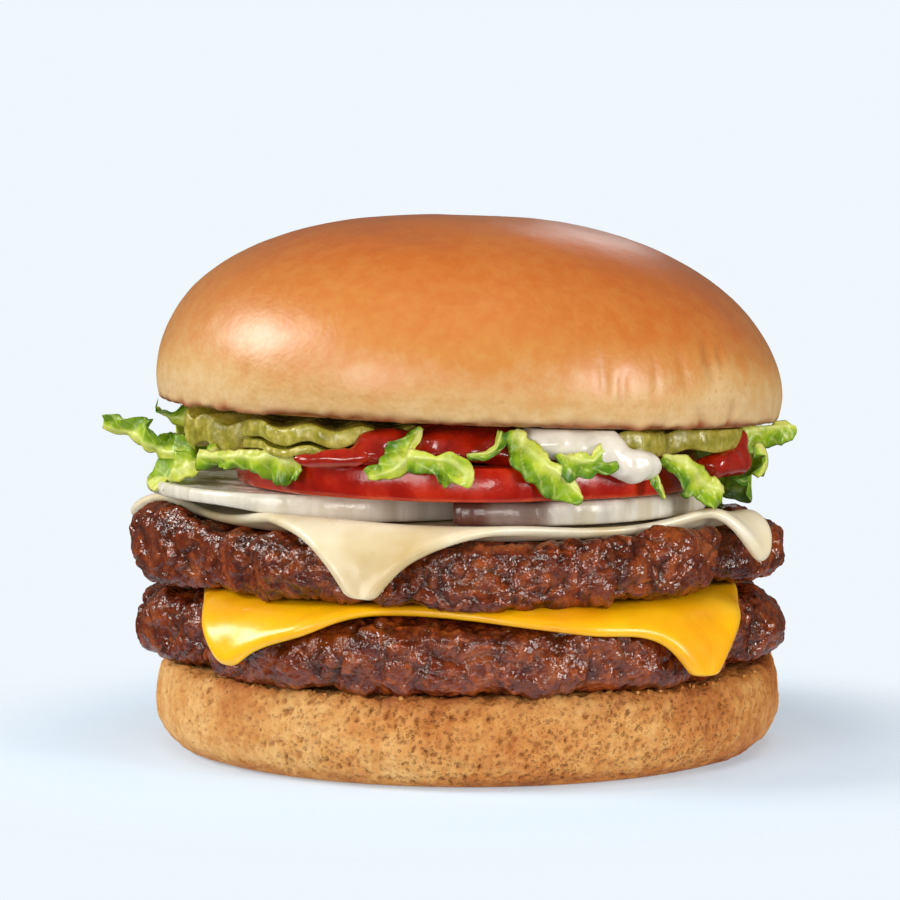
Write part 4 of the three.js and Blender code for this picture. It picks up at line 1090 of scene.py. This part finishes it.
def tomato():
    """A slice of tomato with five pockets of pulp."""
    radius, height, azimuth, rings = round_slice(TOMATO, 280, 22, 28)
    pockets = 5
    spokes = np.abs(np.mod(azimuth * pockets / 360 + 0.2 * noise(radius / 12, azimuth / 40, 1), 1) - 0.5) * 2
    pulp = smoothstep(8, 11, radius) * falling(29, 32, radius) * smoothstep(0.25, 0.4, spokes)
    flat = falling(35.4, 36.4, radius)
    rings[..., 2] += inwards(rings, TOMATO) * flat * pulp * (0.5 + 0.3 * noise_at(rings / 3))
    dents = 0.25 * noise(azimuth / 9, height / 7, 3) * smoothstep(34, 37, radius)
    rings[..., :2] *= (1 + dents / TOMATO["radius"])[..., None]
    share = (height - TOMATO["base"]) / (TOMATO["top"] - TOMATO["base"])
    cut = np.maximum(flat, falling(0.02, 0.12 + 0.05 * noise(azimuth / 5, 0, 7), share))
    attributes = {"flesh": np.clip(0.75 * cut, 0, 1), "pulp": flat * pulp}
    ring_piece("tomato_round", settled(rings, TOMATO), "tomato", "tomato_slice", **attributes)


# ---------------------------------------------------------------- pickle chips


def under_crown(points, room):
    """Presses points down to keep them below the crown's flat underside."""
    ceiling = CROWN_BASE - points[..., 0] * math.tan(CROWN_TILT) - room
    inside = np.hypot(points[..., 0], points[..., 1]) < BUN_RADIUS - 1
    points[..., 2] = np.where(inside, np.minimum(points[..., 2], ceiling), points[..., 2])
    return points


def above_tomato(points, room):
    """Presses points up to keep them off the tomato's upper face."""
    from_centre = points[..., :2] - np.array(TOMATO["centre"])
    inside = np.hypot(from_centre[..., 0], from_centre[..., 1]) < TOMATO["radius"]
    floor = TOMATO["top"] + lean(points[..., 0], points[..., 1]) + room
    points[..., 2] = np.where(inside, np.maximum(points[..., 2], floor), points[..., 2])
    return points


def rotated(a, b, angle):
    """Two coordinates turned by an angle in degrees, from the first towards the second."""
    cosine, sine = math.cos(math.radians(angle)), math.sin(math.radians(angle))
    return a * cosine - b * sine, a * sine + b * cosine


def pickle(name):
    """A crinkle-cut chip with seeds in its core and a lumpy rind."""
    place, radius, thick, grooves, phase, (forward, left), wave = PICKLES[name]
    seed = sum(map(ord, name)) % 50
    swing = np.radians(np.linspace(-90, 90, fine(16)))
    lip = min(thick * 0.42, 0.6)
    rim = np.stack([radius - lip + lip * np.cos(swing) ** 0.6, thick / 2 * np.sin(swing)], -1)
    across = np.linspace(0.8, radius - lip - 0.3, fine(18))
    under = np.stack([across, np.full(len(across), -thick / 2)], -1)
    cover = np.stack([across[::-1], np.full(len(across), thick / 2)], -1)
    outline = np.concatenate([under, rim, cover])
    height = outline[:, 1:]
    azimuth = all_round(168)
    rings = radial(outline[:, :1], azimuth, height)
    outward = outline[:, :1] / radius
    ridge = rings[..., 0] / CRINKLE * 2 * math.pi + phase
    lumps = 0.25 * np.cos(2 * ridge) + 0.35 * noise(azimuth / 17, 0, seed)
    lumps = lumps + 0.12 * noise(azimuth / 4, height / 1.5, seed)
    swell = 1 + lumps * smoothstep(0.75, 1, outward) / radius
    core = np.hypot(rings[..., 0] / 0.62, rings[..., 1] / 0.62) < radius
    far, _, own = cells(rings * np.array([1, 1, 0.3]) + np.array([0, 0, seed]), 2.6, seed)
    seeds = falling(0.14, 0.3, far) * core * (own > 0.4)
    side = np.sign(height) * (outward < 0.97)
    grain = 0.28 * seeds + 0.1 * rough(rings + seed, 2.2, seed, 2)
    rings[..., 2] += side * (grain - 0.12 * falling(0.62, 0.7, outward))
    rings[..., 2] += wave * np.sin(ridge)
    rings[..., :2] *= swell[..., None]
    rind = np.clip(smoothstep(0.9, 0.975, outward + 0.012 * noise(azimuth / 9, 0, seed + 2)), 0, 1)
    x, y, z = np.moveaxis(rings, -1, 0)
    x, y = rotated(x, y, grooves - 90)
    y, z = rotated(y, z, forward)
    x, z = rotated(x, z, -left)
    placed = above_tomato(under_crown(np.stack([x, y, z], -1) + np.array(place), 0.45), 0.3)
    ring_piece(name.replace("pickle", "chip"), placed, "pickle", name, rind=rind, seed=0.7 * seeds)


# ---------------------------------------------------------------- lettuce


def spline(controls, count):
    """Points and directions along a smooth curve through the controls."""
    padded = np.concatenate([2 * controls[:1] - controls[1:2], controls, 2 * controls[-1:] - controls[-2:-1]])
    at = np.linspace(0, len(controls) - 1 - 1e-9, count)
    piece = at.astype(int)
    t = (at - piece)[:, None]
    a, b, c, d = (padded[piece + k] for k in range(4))
    curve = 0.5 * (2 * b + (c - a) * t + (2 * a - 5 * b + 4 * c - d) * t**2 + (3 * b - a - 3 * c + d) * t**3)
    slope = 0.5 * ((c - a) + 2 * (2 * a - 5 * b + 4 * c - d) * t + 3 * (3 * b - a - 3 * c + d) * t**2)
    return curve, slope


def pressed_out(points, spec, room):
    """Pushes points that are inside a round slice straight out past its rim, or over its top when nearer."""
    offset = points[..., :2] - np.array(spec["centre"])
    away = np.maximum(np.linalg.norm(offset, axis=-1), 1e-6)
    low = spec["base"] + lean(points[..., 0], points[..., 1]) - room
    high = spec["top"] + lean(points[..., 0], points[..., 1]) + room
    out = spec["radius"] + room - away
    up = high - points[..., 2]
    inside = np.minimum(out, np.minimum(points[..., 2] - low, up)) > 0
    outwards = inside & (out <= up)
    points[..., :2] += np.where(outwards, out / away, 0)[..., None] * offset
    points[..., 2] += np.where(inside & ~outwards, up, 0)
    return points


def leaf(name):
    """A torn, rippled strip of leaf along its spine, u across it from rib to margin and v along it."""
    (roll, waves, frill, phase), *controls = LEAVES[name]
    spine, widths = np.array(controls, float)[:, :3], np.array(controls, float)[:, 3]
    pieces = len(spine) - 1
    length = np.linalg.norm(np.diff(spine, axis=0), axis=1).sum()
    rows, columns = max(24, fine(length / 0.3)), max(14, fine(widths.max() / 0.28))
    curve, slope = spline(spine, rows)
    v = np.linspace(0, 1, rows)
    width = np.interp(v * pieces, np.arange(pieces + 1), widths)[:, None]
    ahead = slope / np.linalg.norm(slope, axis=1, keepdims=True)
    face = curve * np.array([1, 1, 0])
    face /= np.linalg.norm(face, axis=1, keepdims=True)
    face -= ahead * np.einsum("ij,ij->i", face, ahead)[:, None]
    face /= np.linalg.norm(face, axis=1, keepdims=True)
    face = face * math.cos(math.radians(roll)) + np.cross(ahead, face) * math.sin(math.radians(roll))
    across = np.cross(ahead, face)
    u, v = np.linspace(0, 1, columns)[None, :], v[:, None]
    along = v * length
    ragged = 1.2 + 0.25 * noise(v * 2.2 * pieces, phase, 3 * u)
    lobes = 0.4 * noise(along / 3.0, phase, 7) + 0.16 * noise(along / 1.2, phase, 9)
    lobes = lobes + 0.05 * noise(along / 0.5, phase, 5)
    reach = (u - 0.5) * width * ragged + lobes * width * (u**2 - 0.7 * (1 - u) ** 2)
    ripple = frill * np.sin(2 * math.pi * waves * v + phase + 1.5 * u) * (0.3 + 0.7 * u)
    ripple = ripple + 0.5 * frill * np.sin(2 * math.pi * waves * 2.7 * v + 2.2 * phase + 2 * u) * u**2
    ripple = ripple + 0.5 * frill * noise(along / 1.3, u * 2, phase) * smoothstep(0.5, 1.0, u)
    ripple = 1.25 * ripple + 0.3 * noise(along / 1.8, u * 3, phase)
    ripple = ripple + 0.8 * (2 * u - 1) ** 2 * noise(along / 4, phase, 3)
    stem = bell(u - 0.3 - 0.05 * noise(along / 4, phase, 1), 0.06 + 0.05 * (1 - v))
    fork = np.abs(np.mod(along / 3.1 - 1.3 * np.abs(u - 0.3) * width / 2.2, 1) - 0.5) * 2
    veins = np.maximum(stem, 0.7 * smoothstep(0.84, 0.98, fork) * smoothstep(0.02, 0.2, np.abs(u - 0.3)))
    flat = np.stack(np.broadcast_arrays(along / 1.5, u * width / 1.5, phase), -1)
    blister = 0.18 * rough(flat * 1.5, 1.6, phase, 2)
    middle = curve[:, None] + across[:, None] * reach[..., None]
    middle = middle + face[:, None] * (ripple + blister)[..., None]
    for solid in (TOMATO, ONION):
        middle = pressed_out(middle, solid, 0.45)
    middle = under_crown(middle, 0.5)
    normal = np.cross(np.gradient(middle, axis=0), np.gradient(middle, axis=1))
    normal /= np.maximum(np.linalg.norm(normal, axis=-1, keepdims=True), 1e-9)
    from_edge = np.minimum(np.minimum(u, 1 - u) * width, np.minimum(v, 1 - v) * length)
    half = (0.12 + 0.2 * stem + 0.05 * veins) * np.minimum(1, 0.35 + from_edge / 0.5)
    green = 0.22 + 0.6 * smoothstep(0.1, 0.95, u) + 0.22 * noise(along / 5, u * 2, phase)
    green = green + 0.25 * smoothstep(0.9, 1.0, u)
    attributes = {"green": np.clip(green, 0, 1), "vein": np.clip(0.75 * veins, 0, 1)}
    sheet_piece(name.replace("lettuce", "leaf"), middle, normal, half, "lettuce", name, **attributes)


# ---------------------------------------------------------------- sauces and crumbs


def poured(name, drops):
    """Drops run together into one smooth, slightly uneven body."""
    bm = bmesh.new()
    for x, y, z, *halves in drops:
        made = bmesh.ops.create_icosphere(bm, subdivisions=3, radius=1.0)
        bmesh.ops.scale(bm, vec=Vector(halves), verts=made["verts"])
        bmesh.ops.translate(bm, vec=Vector((x, y, z)), verts=made["verts"])
    separate = bpy.data.meshes.new("drops")
    bm.to_mesh(separate)
    bm.free()
    blob = bpy.data.objects.new("drops", separate)
    collection.objects.link(blob)
    remesh = blob.modifiers.new("run together", "REMESH")
    remesh.mode = "VOXEL"
    remesh.voxel_size = 0.42 / FINE
    relax = blob.modifiers.new("relax", "SMOOTH")
    relax.factor, relax.iterations = 0.6, 18
    evaluated = blob.evaluated_get(bpy.context.evaluated_depsgraph_get())
    points, faces = taken_apart(bpy.data.meshes.new_from_object(evaluated))
    bpy.data.meshes.remove(separate)
    for reach, size, start in ((0.5, 4, 31), (0.16, 1.7, 17)):
        points = points + reach * np.stack([noise_at(points / size + start * k) for k in range(3)], -1)
    add_piece("sauce_" + name, under_crown(points, 0.3), faces, name.split("_")[0], [name])


def heel_crumbs():
    """Loose bits along the heel's upper edge."""
    places, shapes = np.random.default_rng(4), np.random.default_rng(6)
    bm = bmesh.new()
    for _ in range(70):
        azimuth, radius = places.uniform(-180, 180), places.uniform(49.4, 51.0)
        size = places.uniform(0.3, 0.8)
        centre = Vector(radial(radius, azimuth, HEEL_TOP - 0.1).tolist())
        made = bmesh.ops.create_icosphere(bm, subdivisions=2, radius=1.0)
        shape = shapes.uniform(0.6, 1.2, 3) * size / 2
        for vert in made["verts"]:
            vert.co *= 1 + shapes.uniform(-0.35, 0.35)
            vert.co = Vector([vert.co[k] * shape[k] for k in range(3)]) + centre
    mesh = bpy.data.meshes.new("bits")
    bm.to_mesh(mesh)
    bm.free()
    points, faces = taken_apart(mesh)
    zero = np.zeros(len(points))
    attributes = {"baked": zero + 0.45, "pit": zero, "soaked": zero, "open": zero}
    add_piece("crumbs_heel", points, faces, "bun_crumb", attributes=attributes)


# ---------------------------------------------------------------- the burger

crown()
heel()
for make, names in ((patty, PATTIES), (cheese, CHEESES)):
    for node_name in names:
        make(node_name)
onion_slice()
onion_arc()
tomato()
for make, names in ((pickle, PICKLES), (leaf, LEAVES)):
    for node_name in names:
        make(node_name)
for sauce_name, sauce_drops in SAUCES.items():
    poured(sauce_name, sauce_drops + THIN_SAUCE.get(sauce_name, []))
heel_crumbs()

# ---------------------------------------------------------------- stage, light and camera, in metres

FLOOR_HALF = 4.0
FLOOR_FADE = (0.06, 0.11)  # distances from the burger's middle between which the floor fades away
WARM = (1.0, 0.97, 0.93)
# Place, aim, width, height, power in watts, tint, and whether it shows in reflections.
LIGHTS = {
    "key": ((-0.8, -0.05, 0.5), (0, 0, 0.05), 0.36, 0.3, 5.4, (1.0, 0.97, 0.92), True),
    "top": ((0.1, -0.25, 0.95), (0, 0, 0.07), 0.8, 0.6, 3.2, (1.0, 0.98, 0.95), False),
    "rim": ((0.16, 0.8, 0.42), (0, 0, 0.06), 0.14, 0.1, 0.12, (1, 1, 1), True),
    "left": ((-0.55, -0.8, 0.25), (0, 0, 0.045), 0.42, 0.4, 4.3, WARM, True),
    "right": ((0.74, -0.55, 0.2), (0, 0, 0.045), 0.26, 0.4, 5.4, WARM, True),
    "low": ((0.05, -0.95, 0.06), (0, 0, 0.05), 0.3, 0.12, 1.3, WARM, True),
}
CAMERA_PLACE = (-0.003, -0.475, 0.080)
CAMERA_AIM = (-0.003, 0, 0.0485)
CAMERA_LENS, CAMERA_SENSOR = 113.49, 36  # in millimetres


def floor():
    """A pale floor that fades into the pale surroundings."""
    bm = bmesh.new()
    bmesh.ops.create_grid(bm, x_segments=4, y_segments=4, size=FLOOR_HALF)
    mesh = bpy.data.meshes.new("floor")
    bm.to_mesh(mesh)
    bm.free()
    glow = {"Emission_Color": colour(222, 232, 242), "Emission_Strength": 0.36}
    look = Look("floor", Specular_IOR_Level=0.1, Roughness=0.9, **glow)
    away = look.node("ShaderNodeVectorMath", operation="LENGTH")
    look.feed(away.inputs[0], look.place)
    look.set(Base_Color=(194, 214, 234), Alpha=look.between(away.outputs["Value"], *FLOOR_FADE, 1.0, 0.0))
    mesh.materials.append(look.material)
    piece = bpy.data.objects.new("floor", mesh)
    collection.objects.link(piece)


def placed_object(name, data, place, aim):
    """An object at a place, looking at its aim."""
    made = bpy.data.objects.new(name, data)
    made.location = place
    made.rotation_euler = (Vector(aim) - Vector(place)).to_track_quat("-Z", "Y").to_euler()
    collection.objects.link(made)
    return made


def area_light(name, place, aim, width, height, power, tint, mirrored):
    light = bpy.data.lights.new(name, "AREA")
    light.shape = "RECTANGLE"
    light.size, light.size_y = width, height
    light.energy = power
    light.color = tint
    placed_object(name, light, place, aim).visible_glossy = mirrored


def surroundings():
    """A pale blue backdrop where the camera sees past the floor, and a weak warm light from all round."""
    world = bpy.data.worlds.new("surroundings")
    world.use_nodes = True
    tree = world.node_tree
    backdrop = tree.nodes["Background"]
    backdrop.inputs["Color"].default_value = colour(240, 247, 253)
    ambient = tree.nodes.new("ShaderNodeBackground")
    ambient.inputs["Color"].default_value = colour(255, 240, 224)
    ambient.inputs["Strength"].default_value = 0.15
    either = tree.nodes.new("ShaderNodeMixShader")
    seen = tree.nodes.new("ShaderNodeLightPath").outputs["Is Camera Ray"]
    shown = tree.nodes["World Output"].inputs["Surface"]
    links = zip((seen, ambient.outputs[0], backdrop.outputs[0]), either.inputs)
    for output, socket in (*links, (either.outputs[0], shown)):
        tree.links.new(output, socket)
    bpy.context.scene.world = world


def camera():
    data = bpy.data.cameras.new("camera")
    data.lens, data.sensor_width = CAMERA_LENS, CAMERA_SENSOR
    data.clip_start, data.clip_end = 0.01, 50
    bpy.context.scene.camera = placed_object("camera", data, CAMERA_PLACE, CAMERA_AIM)


floor()
for light_name, settings in LIGHTS.items():
    area_light(light_name, *settings)
surroundings()
camera()
bpy.context.scene.view_settings.view_transform = "Standard"
